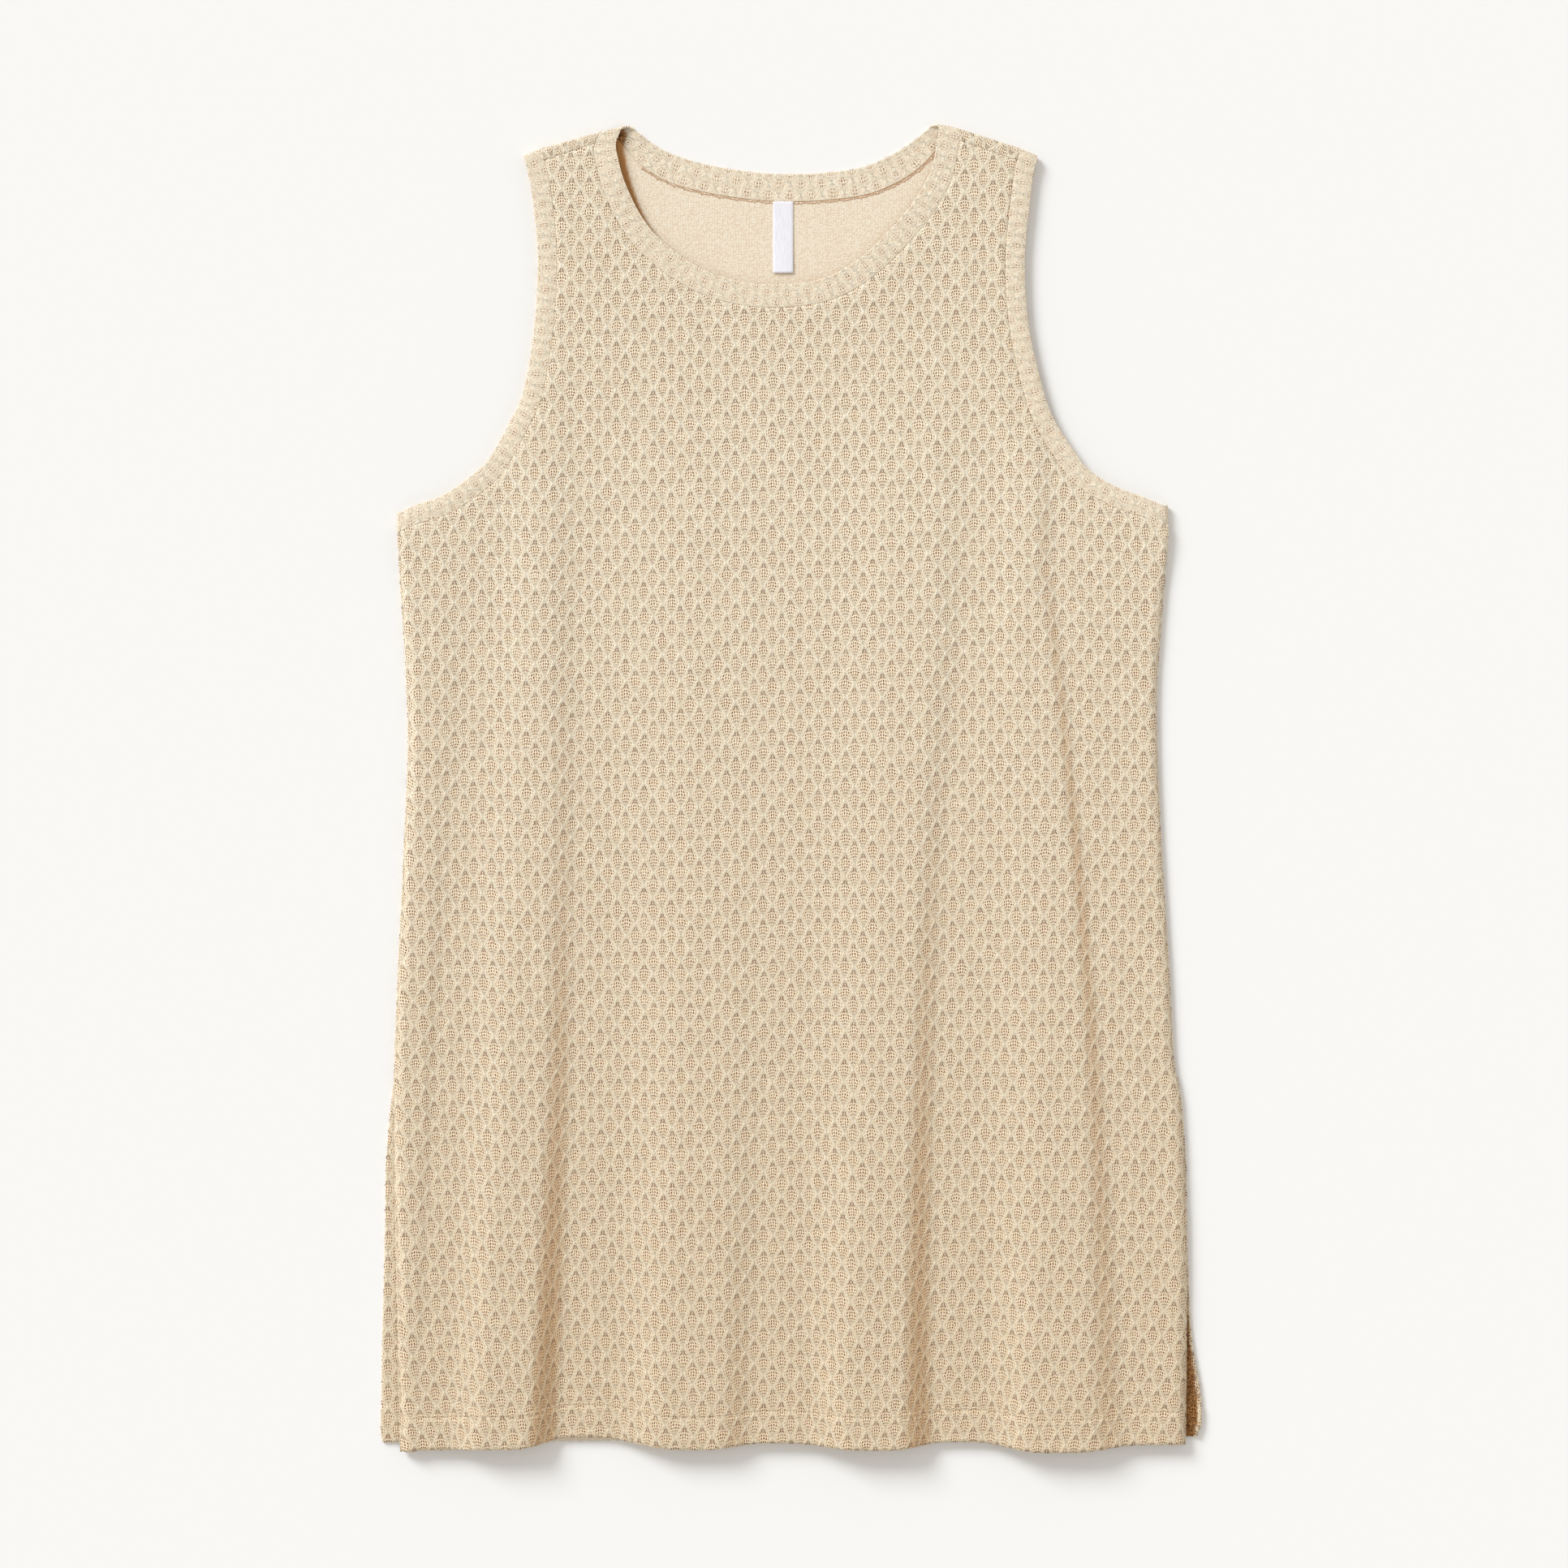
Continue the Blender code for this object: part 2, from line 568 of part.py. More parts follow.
# Armhole bands: the same strip round each armhole
def armhole_band(name, side, finish):
    curve, steps = arm_curve[side], arm_steps[side]
    stations = stations_along(curve, steps, front_wall, BAND_CLOTH)
    stations += band_turn(curve[-1], steps[-1], curve[-1], steps[-1], (0, 1))
    stations += stations_along(curve[::-1], steps[::-1], back_wall, BAND_CLOTH)
    stations += band_turn(curve[0], steps[0], curve[0], steps[0], (side, 0))[::-1]
    return ring(name, [(a[::-side], b[::-side]) for a, b in stations], finish)


# Label: a strip of satin held by the back neck seam, its free end a little raised
def label(finish):
    top = neck_back_edge[:, 1].min() - SEAM_GAP
    places = LABEL_COLUMNS * LABEL_WIDTH + LABEL_CENTRE
    rows = np.linspace(0, 1, LABEL_ROWS)
    base = BODY_CLOTH + SEAM_GAP
    rises = base + LABEL_LIFT * rows**3
    inner = np.array([(x, top - share * LABEL_LENGTH, rise) for share, rise in zip(rows, rises) for x in places])
    rows = [list(range(k, k + len(places))) for k in range(0, len(inner), len(places))]
    faces = [face[::-1] for first, second in zip(rows, rows[1:]) for face in strip(first, second)]
    return walled("label", inner + (0, 0, LABEL_CLOTH), inner, faces, finish)


def centre(objects):
    """Puts the origin under the middle of the garment."""
    points = np.array([vertex.co for made in objects for vertex in made.data.vertices])
    low, high = points.min(0), points.max(0)
    for made in objects:
        for vertex in made.data.vertices:
            vertex.co.x -= (low[0] + high[0]) / 2
            vertex.co.y -= (low[1] + high[1]) / 2
            vertex.co.z -= low[2]


for old in list(bpy.data.objects):
    bpy.data.objects.remove(old, do_unlink=True)
knit = material("cream_knit", CREAM_KNIT, 0.85)
band = material("cream_band", CREAM_BAND, 0.85)
satin = material("white_satin", WHITE_SATIN, 0.45)
centre(
    [
        back_panel(knit),
        front_panel(knit),
        neck_band(band),
        armhole_band("armhole_band_left", -1, band),
        armhole_band("armhole_band_right", 1, band),
        label(satin),
    ]
)
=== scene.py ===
"""A sleeveless, round-necked beach cover-up in an open diamond knit, laid flat on its back.

Metres, +Z up, +Y from the hem to the neck. The tables are in millimetres, measured on the laid-out garment
from its centre front line (out or x) and from its hem line (up)."""

import math
from collections import namedtuple
from functools import partial

import bpy
import numpy as np
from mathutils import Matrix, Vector, kdtree
from mathutils.geometry import delaunay_2d_cdt


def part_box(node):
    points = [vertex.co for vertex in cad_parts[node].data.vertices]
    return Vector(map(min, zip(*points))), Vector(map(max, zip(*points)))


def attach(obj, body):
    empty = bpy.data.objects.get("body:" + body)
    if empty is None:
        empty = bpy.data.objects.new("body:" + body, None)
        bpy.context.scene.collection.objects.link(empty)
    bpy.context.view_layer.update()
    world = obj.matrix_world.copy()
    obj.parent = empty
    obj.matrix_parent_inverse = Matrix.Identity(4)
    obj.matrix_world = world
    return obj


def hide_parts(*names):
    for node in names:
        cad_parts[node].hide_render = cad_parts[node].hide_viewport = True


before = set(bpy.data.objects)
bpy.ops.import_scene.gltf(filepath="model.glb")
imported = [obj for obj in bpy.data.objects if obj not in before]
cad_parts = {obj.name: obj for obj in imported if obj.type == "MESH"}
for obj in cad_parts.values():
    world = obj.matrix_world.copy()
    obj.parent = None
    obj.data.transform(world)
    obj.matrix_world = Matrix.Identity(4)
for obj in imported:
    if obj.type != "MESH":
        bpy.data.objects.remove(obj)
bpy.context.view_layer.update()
MM = 0.001

# ---- Back panel ----------------------------------------------------------------------------------------
# The back of the body: one piece of machine-knitted cotton pointelle, 1.6 mm thick, lying flat on the ground.
# It goes over both shoulders to seams in front. Its wrong side shows in the neck, and its edges show beside
# the vents.

BODY_CLOTH = 1.6 * MM
HEM_CLOTH = 2.4 * MM
HEM_DEPTH = 21.0 * MM
HEM_STEP = 1.2 * MM
HEM_CLIMB = 4.0 * MM
SHOULDER_SEAM_FORWARD = 9.0 * MM
VENT_TOP = 241.0 * MM
SIDE_GAP = 0.3 * MM
# The gaps at the neck and armhole seams, and the wider one along the back neck
SEAM_GAP = 0.12 * MM
SLANTED_GAP = 0.15 * MM
EDGE_STEP = 1.4 * MM
BACK_STEP = 6.0 * MM
FINE_STEP = 1.8 * MM

Side = namedtuple("Side", "up left right")
SIDE_EDGES = (
    Side(0, -257.9, 273.2),
    Side(60, -259.6, 274.0),
    Side(150, -261.3, 274.1),
    Side(232, -262.4, 270.6),
    Side(262, -261.8, 265.4),
    Side(320, -259.6, 262.4),
    Side(400, -255.8, 257.4),
    Side(470, -252.9, 254.2),
    Side(520, -254.0, 254.2),
    Side(585, -258.0, 259.1),
    Side(619, -259.8, 261.5),
)
# Below the vents the back is a little wider than the front.
BACK_VENTS = (
    Side(4, -270.0, 281.0),
    Side(14, -271.2, 284.0),
    Side(35, -270.6, 283.0),
    Side(76, -270.1, 276.9),
    Side(145, -268.4, 274.3),
    Side(189, -267.9, 273.6),
    Side(232, -264.6, 270.6),
)

Arm = namedtuple("Arm", "left left_up right right_up")
ARMHOLE = (
    Arm(257.4, 633.3, 258.6, 638.0),
    Arm(248.2, 637.9, 246.0, 643.0),
    Arm(227.2, 645.7, 224.0, 651.6),
    Arm(205.2, 661.7, 206.8, 662.8),
    Arm(195.8, 672.7, 199.1, 672.7),
    Arm(183.7, 694.7, 185.0, 694.7),
    Arm(174.4, 716.7, 176.7, 716.7),
    Arm(167.2, 760.7, 167.0, 760.7),
    Arm(165.0, 804.7, 164.6, 804.7),
    Arm(168.0, 842.0, 167.9, 842.0),
    Arm(171.6, 863.0, 170.4, 862.0),
    Arm(174.4, 872.0, 173.0, 872.0),
)

Neck = namedtuple("Neck", "x up")
NECK_FRONT = (
    Neck(-108.9, 891.5),
    Neck(-112.0, 882.0),
    Neck(-110.6, 873.0),
    Neck(-106.2, 857.0),
    Neck(-95.7, 835.0),
    Neck(-81.4, 817.3),
    Neck(-56.0, 799.0),
    Neck(-29.0, 789.5),
    Neck(-2.0, 787.3),
    Neck(28.0, 791.5),
    Neck(52.0, 804.5),
    Neck(73.7, 825.0),
    Neck(89.7, 844.3),
    Neck(100.7, 864.1),
    Neck(104.6, 881.0),
    Neck(106.4, 893.5),
)
NECK_BACK = (
    Neck(-98.5, 891.5),
    Neck(-83.0, 880.3),
    Neck(-67.7, 873.6),
    Neck(-51.2, 869.0),
    Neck(-32.0, 865.4),
    Neck(-12.0, 863.1),
    Neck(6.0, 862.4),
    Neck(27.0, 863.2),
    Neck(53.4, 866.8),
    Neck(75.4, 876.0),
    Neck(90.0, 885.5),
    Neck(100.0, 893.5),
)
NECK_BAND_WIDTH = 15.5 * MM
NECK_BAND_WIDTH_BACK = 18.5 * MM
NECK_BAND_WIDTH_SHOULDER = 15.0 * MM
ARM_BAND_WIDTH = 13.0 * MM
# At its ends a band turns, over this share of its length, to the slant of its cut, in degrees.
TURNED_SHARE = 0.14
NECK_SLANT = 12
ARM_SLANT = 22

# The folds of the front run from the hem to the chest. x is where a crest or a foot lies and height is its
# height above the surface, at the hem, at FOLD_MIDDLE and at FOLD_TOP. hem is how far up the edge is there.
FOLD_MIDDLE = 300.0 * MM
FOLD_TOP = 600.0 * MM
FOLD_END = 760.0 * MM
Fold = namedtuple("Fold", "name x x_middle x_top height height_middle height_top hem")
FOLDS = (
    Fold("left swell", -256.0, -246.0, -239.0, 6.4, 6.5, 5.6, -2.2),
    Fold("left hollow", -240.0, -227.0, -197.0, 6.2, 4.6, 4.4, -0.6),
    Fold("first crest", -188.7, -169.4, -162.3, 14.5, 9.5, 7.5, 0.8),
    Fold("first foot", -136.4, -130.9, -133.7, 2.6, 4.2, 4.6, 7.5),
    Fold("second crest", -59.4, -48.4, -45.7, 11.5, 8.0, 6.0, 0.3),
    Fold("second foot", -4.4, -0.6, -1.7, 6.0, 6.6, 5.8, 3.9),
    Fold("third crest", 63.3, 78.7, 97.4, 14.5, 10.5, 7.8, 0.2),
    Fold("third foot", 120.5, 115.0, 133.1, 4.0, 5.6, 5.4, 4.6),
    Fold("fourth crest", 185.4, 195.3, 167.8, 13.5, 8.8, 7.4, -1.5),
    Fold("fourth foot", 254.1, 219.5, 186.5, 7.0, 4.6, 4.8, 3.0),
)
SIDE_SEAM_HEIGHT = BODY_CLOTH + SIDE_GAP
HEM_HEIGHT = HEM_CLOTH + SIDE_GAP
ARMHOLE_HEIGHT = 4.2 * MM
UNDERARM, UNDERARM_RISE = 575 * MM, 43 * MM
CHEST_HEIGHT = 5.0 * MM
SHOULDER_HEIGHT = 4.4 * MM
SHOULDER_LINE, SHOULDER_RISE = 880 * MM, 120 * MM
EDGE_ROUNDING = 6.0 * MM
HEM_BLEND, HEM_BLEND_RISE = 36 * MM, 10 * MM
# The front stands away from the back beside the left neck point.
NECK_LIFT = 1.8 * MM
NECK_LIFT_PLACE = np.array((-108, 866)) * MM
NECK_LIFT_SIZE = np.array((17, 30)) * MM
SLOPE_STEP = 1.5 * MM

# The knit: staggered diamonds of eyelets, in rows that climb to the right and sink again near the right edge
DIAMOND_WIDTH = 12.4 * MM
DIAMOND_HEIGHT = 17.2 * MM
ROW_CLIMB = 0.055
ROW_SINK = 0.09
ROW_SINK_FROM = 190.0 * MM
RIDGE_RELIEF = 0.15 * MM
# The share of the way from crest to foot that a fold's side takes, at the hem, at FOLD_TOP and in the edge
FOLD_SIDE = 0.46
FOLD_SIDE_TOP = 0.85
HEM_SIDE = 0.8
# A knitted edge is uneven from row to row.
EDGE_ROUGHNESS = 0.32 * MM
EDGE_ROWS = 3.4 * MM
EDGE_ROUND = 0.35 * MM

SIDES = (-1, 1)


def table(rows, *columns):
    """The named columns of a table, in metres, as an array of points."""
    return np.array([[getattr(row, name) for name in columns] for row in rows]) * MM


def smooth_curve(points, step):
    """A curve through the points, as points about step apart."""
    ends = np.vstack([2 * points[0] - points[1], points, 2 * points[-1] - points[-2]])
    a, b, c, d = ends[:-3], ends[1:-2], ends[2:-1], ends[3:]
    fine = []
    for t in np.linspace(0, 1, 24, endpoint=False):
        bends = (2 * a - 5 * b + 4 * c - d) * t**2 + (3 * b - a - 3 * c + d) * t**3
        fine.append(0.5 * (2 * b + (c - a) * t + bends))
    return respaced(np.vstack([np.stack(fine, 1).reshape(-1, 2), points[-1]]), step)


def run_length(line):
    """How far along a line each of its points is."""
    return np.concatenate([[0], np.cumsum(np.linalg.norm(np.diff(line, axis=0), axis=1))])


def respaced(line, step):
    """A line's points, evenly spaced about step apart."""
    length = run_length(line)
    places = np.linspace(0, length[-1], max(2, round(length[-1] / step) + 1))
    return np.stack([np.interp(places, length, line[:, k]) for k in range(line.shape[1])], 1)


def distance_to(points, line):
    """Each point's distance to a polyline."""
    start, run = line[:-1], np.diff(line, axis=0)
    result = []
    for some in np.array_split(points, max(1, len(points) // 4000)):
        away = some[:, None] - start
        share = np.clip((away * run).sum(-1) / (run * run).sum(-1), 0, 1)
        result.append(np.linalg.norm(away - share[..., None] * run, axis=-1).min(1))
    return np.concatenate(result)


def unit(vectors):
    """Vectors, each made one long."""
    return vectors / np.linalg.norm(vectors, axis=-1, keepdims=True)


def heading(line):
    """The direction in which a line runs at each of its points."""
    return unit(np.gradient(line, axis=0))


def right_of(line):
    """The direction to the right of a flat line at each of its points."""
    run = heading(line)
    return np.column_stack([run[:, 1], -run[:, 0]])


def uneven(line, seed):
    """A line's points, moved a little across it as the rows of a knitted edge are."""
    length = run_length(line) / EDGE_ROWS * 2 * math.pi
    wave = np.sin(length + seed) + 0.7 * np.sin(length * 0.37 + 2 * seed)
    wave += 0.6 * np.sin(length * 1.71 + 3 * seed)
    return line + right_of(line) * (wave * EDGE_ROUGHNESS / 2)[:, None]


def inside(points, outline):
    """Which points lie inside a closed outline."""
    outline = outline[:: 1 + len(outline) // 900]
    (x0, y0), (x1, y1) = outline.T, np.roll(outline, -1, 0).T
    slant = (x1 - x0) / np.where(y1 == y0, 1, y1 - y0)
    result = []
    for some in np.array_split(points, max(1, len(points) // 4000)):
        x, y = some[:, :1], some[:, 1:]
        crosses = (y0 > y) != (y1 > y)
        result.append((crosses & (x < x0 + (y - y0) * slant)).sum(1) % 2 == 1)
    return np.concatenate(result)


def ease(share):
    """0 to 1, straight off the edge and level at the end."""
    return np.sin(np.clip(share, 0, 1) * math.pi / 2)


def swing(share):
    """0 to 1, level at both ends."""
    return (1 - np.cos(np.clip(share, 0, 1) * math.pi)) / 2


def along_fold(at_hem, at_middle, at_top, up):
    """A fold's value at a height, on a smooth line through its three given ones."""
    t = np.clip(up, 0, FOLD_TOP) / FOLD_MIDDLE
    return at_hem * (t - 1) * (t - 2) / 2 + at_middle * t * (2 - t) + at_top * t * (t - 1) / 2


def between_folds(x, places, values, side=FOLD_SIDE):
    """Swings from each crest's or foot's value to the next one's, over the given share of the way."""
    result = values[..., 0]
    for k in range(len(FOLDS) - 1):
        share = (x - places[..., k]) / (places[..., k + 1] - places[..., k])
        share = 0.5 + (share - 0.5) / side
        result = result + (values[..., k + 1] - values[..., k]) * swing(share)
    return result


def hem_line(x):
    """How far up the front's hem edge lies."""
    places = np.array([fold.x for fold in FOLDS]) * MM
    rises = np.array([fold.hem for fold in FOLDS]) * MM
    return between_folds(x, places, rises, HEM_SIDE)


side_rows = table(SIDE_EDGES, "up", "left", "right")
vent_rows = table(BACK_VENTS, "up", "left", "right")
arm_rows = {-1: table(ARMHOLE, "left", "left_up") * (-1, 1), 1: table(ARMHOLE, "right", "right_up")}
side_curve = {side: smooth_curve(side_rows[:, (1 if side < 0 else 2, 0)], EDGE_STEP) for side in SIDES}
arm_curve = {side: smooth_curve(arm_rows[side], EDGE_STEP) for side in SIDES}
neck_front = smooth_curve(table(NECK_FRONT, "x", "up"), EDGE_STEP)
neck_back = smooth_curve(table(NECK_BACK, "x", "up"), EDGE_STEP)
free_edges = [respaced(np.vstack([side_curve[side], arm_curve[side]]), 8 * EDGE_STEP) for side in SIDES]


def front_height(points):
    """The height of the front's inner side above the surface, for points (x, up)."""
    x, up = points.T
    places = np.stack([along_fold(fold.x, fold.x_middle, fold.x_top, up) * MM for fold in FOLDS], -1)
    heights = [along_fold(fold.height, fold.height_middle, fold.height_top, up) * MM for fold in FOLDS]
    side = FOLD_SIDE + (FOLD_SIDE_TOP - FOLD_SIDE) * np.clip(up / FOLD_TOP, 0, 1)
    folded = between_folds(x, places, np.stack(heights, -1), side)
    plain = SHOULDER_HEIGHT + (CHEST_HEIGHT - SHOULDER_HEIGHT) * swing((SHOULDER_LINE - up) / SHOULDER_RISE)
    height = plain + (folded - plain) * swing((FOLD_END - up) / (FOLD_END - FOLD_TOP))
    edge = SIDE_SEAM_HEIGHT + (ARMHOLE_HEIGHT - SIDE_SEAM_HEIGHT) * swing((up - UNDERARM) / UNDERARM_RISE)
    for line in free_edges:
        height = edge + (height - edge) * ease(distance_to(points, line) / EDGE_ROUNDING)
    on_hem = swing((HEM_BLEND - up) / HEM_BLEND_RISE)
    height = np.maximum(height, SIDE_SEAM_HEIGHT + (HEM_HEIGHT - SIDE_SEAM_HEIGHT) * on_hem)
    away = (points - NECK_LIFT_PLACE) / NECK_LIFT_SIZE
    return height + NECK_LIFT * np.exp(-(away**2).sum(-1))


def front_normal(points):
    """The directions that point away from the front's outer side."""
    step = SLOPE_STEP
    along_x = front_height(points + (step, 0)) - front_height(points - (step, 0))
    along_y = front_height(points + (0, step)) - front_height(points - (0, step))
    return unit(np.column_stack([-along_x, -along_y, np.full(len(points), 2 * step)]))


def front_wall(points, wall):
    """Outer and inner points of a wall that lies on the front's height."""
    inner = np.column_stack([points, front_height(points)])
    return inner + front_normal(points) * np.reshape(wall, (-1, 1)), inner


def back_wall(points, wall):
    """Outer and inner points of a wall that lies flat on the surface."""
    outer = np.column_stack([points, np.zeros(len(points))])
    return outer, outer + np.column_stack([np.zeros((len(points), 2)), np.full(len(points), wall)])


def turn_wall(front, back, toward, wall, steps):
    """Outer and inner rows of points of a wall that turns over from the front to the back."""
    radius = ((front_height(front) - wall) / 2)[:, None]
    rows = []
    for angle in np.linspace(math.pi, 0, steps + 1)[1:-1]:
        middle = front + (back - front) * (1 + math.cos(angle)) / 2
        middle = np.column_stack([middle, wall + radius])
        normal = np.array((toward[0] * math.sin(angle), toward[1] * math.sin(angle), -math.cos(angle)))
        rows.append((middle + normal * (radius + wall), middle + normal * radius))
    return rows


def across(curve, width, first, last, turn):
    """Steps from a curve to the other edge of a band along it, turned to the given directions at its ends."""
    normal = right_of(curve) * turn
    share = np.linspace(0, 1, len(curve))[:, None]
    normal = normal + (np.array(first) - normal) * (1 - swing(share / TURNED_SHARE))
    normal = normal + (np.array(last) - normal) * (1 - swing((1 - share) / TURNED_SHARE))
    return unit(normal) * np.reshape(width, (-1, 1))


def slope(degrees, side):
    """A direction out from the middle and down the shoulder."""
    return side * math.cos(math.radians(degrees)), -math.sin(math.radians(degrees))


def neck_across(curve, middle_width):
    """The neck band's steps: it is narrower on the shoulders."""
    middle = swing(1.8 * np.sin(np.linspace(0, 1, len(curve)) * math.pi))
    width = NECK_BAND_WIDTH_SHOULDER + (middle_width - NECK_BAND_WIDTH_SHOULDER) * middle
    return across(curve, width, slope(NECK_SLANT, -1), slope(NECK_SLANT, 1), 1)


arm_steps = {}
for side in SIDES:
    inward = np.array(slope(ARM_SLANT, side)) * -1
    arm_steps[side] = across(arm_curve[side], ARM_BAND_WIDTH, (0, -1), inward, -side)
neck_front_steps = neck_across(neck_front, NECK_BAND_WIDTH)
neck_back_steps = neck_across(neck_back, NECK_BAND_WIDTH_BACK)


def panel_edge(curve, steps, gap):
    """A panel's edge along a band: the band's seam, moved a gap further."""
    return respaced(curve + steps * (1 + gap / np.linalg.norm(steps, axis=1)[:, None]), EDGE_STEP)


def shortened(line, length):
    """A line without the last stretch of it."""
    run = np.linalg.norm(np.diff(line, axis=0), axis=1)
    while run[-1] <= length:
        length -= run[-1]
        line, run = line[:-1], run[:-1]
    return np.vstack([line[:-1], line[-1] + (line[-2] - line[-1]) * length / run[-1]])


arm_edge = {side: panel_edge(arm_curve[side], arm_steps[side], SEAM_GAP) for side in SIDES}
neck_front_edge = panel_edge(neck_front, neck_front_steps, SEAM_GAP)
neck_back_edge = panel_edge(neck_back, neck_back_steps, SLANTED_GAP)

# The frame's origin in the tables' measures, from the label's middle and the front's lowest hem point
LABEL_CENTRE = 1.0 * MM
LOWEST_HEM = FOLDS[0].hem * MM
label_middle = sum(corner[0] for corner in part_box("label")) / 2
ORIGIN = np.array((LABEL_CENTRE - label_middle, LOWEST_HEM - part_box("front_panel")[0][1], 0))


def fill(outline, points, clear, lines=()):
    """Counter-clockwise triangles of an outline with points and lines in it. The outline's points come first."""
    edges = [(k, (k + 1) % len(outline)) for k in range(len(outline))]
    every = [outline]
    count = len(outline)
    for line in lines:
        edges += [(count + k, count + k + 1) for k in range(len(line) - 1)]
        every.append(line)
        count += len(line)
    border = np.vstack(every)
    tree = kdtree.KDTree(len(border))
    for k, (x, y) in enumerate(border):
        tree.insert((x, y, 0), k)
    tree.balance()
    points = points[inside(points, outline)]
    points = points[[tree.find((x, y, 0))[2] > clear for x, y in points]]
    made = delaunay_2d_cdt([Vector(p) for p in np.vstack([border, points])], edges, [], 1, 1e-7)
    flat = np.array([tuple(v) for v in made[0]])
    faces = np.array(made[2])
    a, b, c = (flat[faces[:, k]] for k in range(3))
    area = (b[:, 0] - a[:, 0]) * (c[:, 1] - a[:, 1]) - (c[:, 0] - a[:, 0]) * (b[:, 1] - a[:, 1])
    faces[area < 0] = faces[area < 0][:, ::-1]
    used, order = np.unique(faces, return_inverse=True)
    return flat[used], order.reshape(faces.shape)


def ridges(cloth, width, height, fall=0):
    """1 on the ridges between the diamonds and 0 in the middle of each, for places on the cloth. Where it
    falls, the ridges that run down it are the higher ones."""
    across_share, along_share = cloth[:, 0] / width, cloth[:, 1] / height
    lean = np.clip(fall / 0.07, -1, 1)
    back = ((1 + np.cos(2 * math.pi * (across_share + along_share))) / 2) ** 3 * (0.65 - 0.35 * lean)
    fore = ((1 + np.cos(2 * math.pi * (across_share - along_share))) / 2) ** 3 * (0.65 + 0.35 * lean)
    return 1 - (1 - back) * (1 - fore)


def boundary(faces):
    """The points round the open edge of some triangles."""
    edges = np.vstack([faces[:, (0, 1)], faces[:, (1, 2)], faces[:, (2, 0)]])
    keys = edges[:, 0] * (faces.max() + 1) + edges[:, 1]
    back = edges[:, 1] * (faces.max() + 1) + edges[:, 0]
    following = dict(edges[~np.isin(keys, back)].tolist())
    rim = [next(iter(following))]
    while following[rim[-1]] != rim[0]:
        rim.append(following[rim[-1]])
    return np.array(rim)


def placed(name, data):
    """An object in the scene."""
    made = bpy.data.objects.new(name, data)
    bpy.context.collection.objects.link(made)
    return made


def new_mesh(name, points, faces, materials):
    """A smooth mesh of points in the frame."""
    mesh = bpy.data.meshes.new(name)
    mesh.from_pydata(np.asarray(points).tolist(), [], faces)
    for made in materials:
        mesh.materials.append(made)
    mesh.shade_smooth()
    return mesh


def cloth_object(name, points, faces, looks, cloth, materials, wrap=None, marks=()):
    """A cloth piece. looks gives each face's material and cloth each point's place on the cloth. marks are
    (name, values): fall is how steeply the cloth falls to the right, and shade how much painted shade it has.
    Where the cloth goes round, wrap is how long it is until it meets itself."""
    mesh = new_mesh(name, points - ORIGIN, faces, materials)
    mesh.polygons.foreach_set("material_index", looks)
    corners = np.empty(len(mesh.loops), dtype=np.int32)
    mesh.loops.foreach_get("vertex_index", corners)
    places = cloth[corners] / MM
    if wrap:
        starts = np.array([face.loop_start for face in mesh.polygons])
        widest = np.maximum.reduceat(places[:, 0], starts)
        counts = np.diff(np.append(starts, len(corners)))
        around = np.repeat(widest, counts) - places[:, 0] > wrap / MM / 2
        places[around, 0] += wrap / MM
    layer = mesh.uv_layers.new(name="cloth")
    layer.data.foreach_set("uv", places.ravel())
    for mark, values in marks:
        mesh.attributes.new(mark, "FLOAT", "POINT").data.foreach_set("value", values.astype(np.float32))
    return placed(name, mesh)


def walled(name, outer, outer_faces, inner, inner_faces, rim, cloth, materials, marks=(), shown=None):
    """A closed cloth piece with a rounded edge. rim lists the points all round, the same in outer and inner.
    marks are (name, outer values, inner values). shown says which inner faces have the first material."""
    inner_start, middle_start = len(outer), len(outer) + len(inner)
    middle = (outer[rim] + inner[rim]) / 2
    out = unit(np.cross(np.roll(middle, -1, 0) - np.roll(middle, 1, 0), outer[rim] - inner[rim]))
    points = np.vstack([outer, inner, middle + out * EDGE_ROUND])
    faces = outer_faces.tolist() + (inner_faces[:, ::-1] + inner_start).tolist()
    looks = [0] * len(outer_faces)
    looks += [1] * len(inner_faces) if shown is None else np.where(shown, 0, 1).tolist()
    mid = middle_start + np.arange(len(rim))
    after, mid_after = np.roll(rim, -1), np.roll(mid, -1)
    over_edge = np.column_stack([after, rim, mid, mid_after])
    under_edge = np.column_stack([mid_after, mid, rim + inner_start, after + inner_start])
    faces += np.stack([over_edge, under_edge], 1).reshape(-1, 4).tolist()
    looks += [0, 0] * len(rim)
    places = np.vstack([*cloth, cloth[0][rim]])
    marks = [(mark, np.concatenate([over, under, over[rim]])) for mark, over, under in marks]
    return cloth_object(name, points, faces, looks, places, materials, marks=marks)


def add(tree, kind, inputs=(), **settings):
    """Adds a node with its settings. An input is a value, a socket, or a node, which is linked by its first
    output. A kind in capitals is an operation of the Math node."""
    if kind.isupper():
        kind, settings["operation"] = "ShaderNodeMath", kind
    made = tree.nodes.new(kind)
    for name, value in settings.items():
        setattr(made, name, value)
    for key, value in inputs.items() if isinstance(inputs, dict) else enumerate(inputs):
        if isinstance(value, bpy.types.Node):
            value = value.outputs[0]
        if isinstance(value, bpy.types.NodeSocket):
            tree.links.new(value, made.inputs[key])
        else:
            made.inputs[key].default_value = value
    return made


def linear(colour):
    """A linear colour from an sRGB hex value."""
    parts = [int(colour[k : k + 2], 16) / 255 for k in (1, 3, 5)]
    return (*[part / 12.92 if part <= 0.04045 else ((part + 0.055) / 1.055) ** 2.4 for part in parts], 1.0)


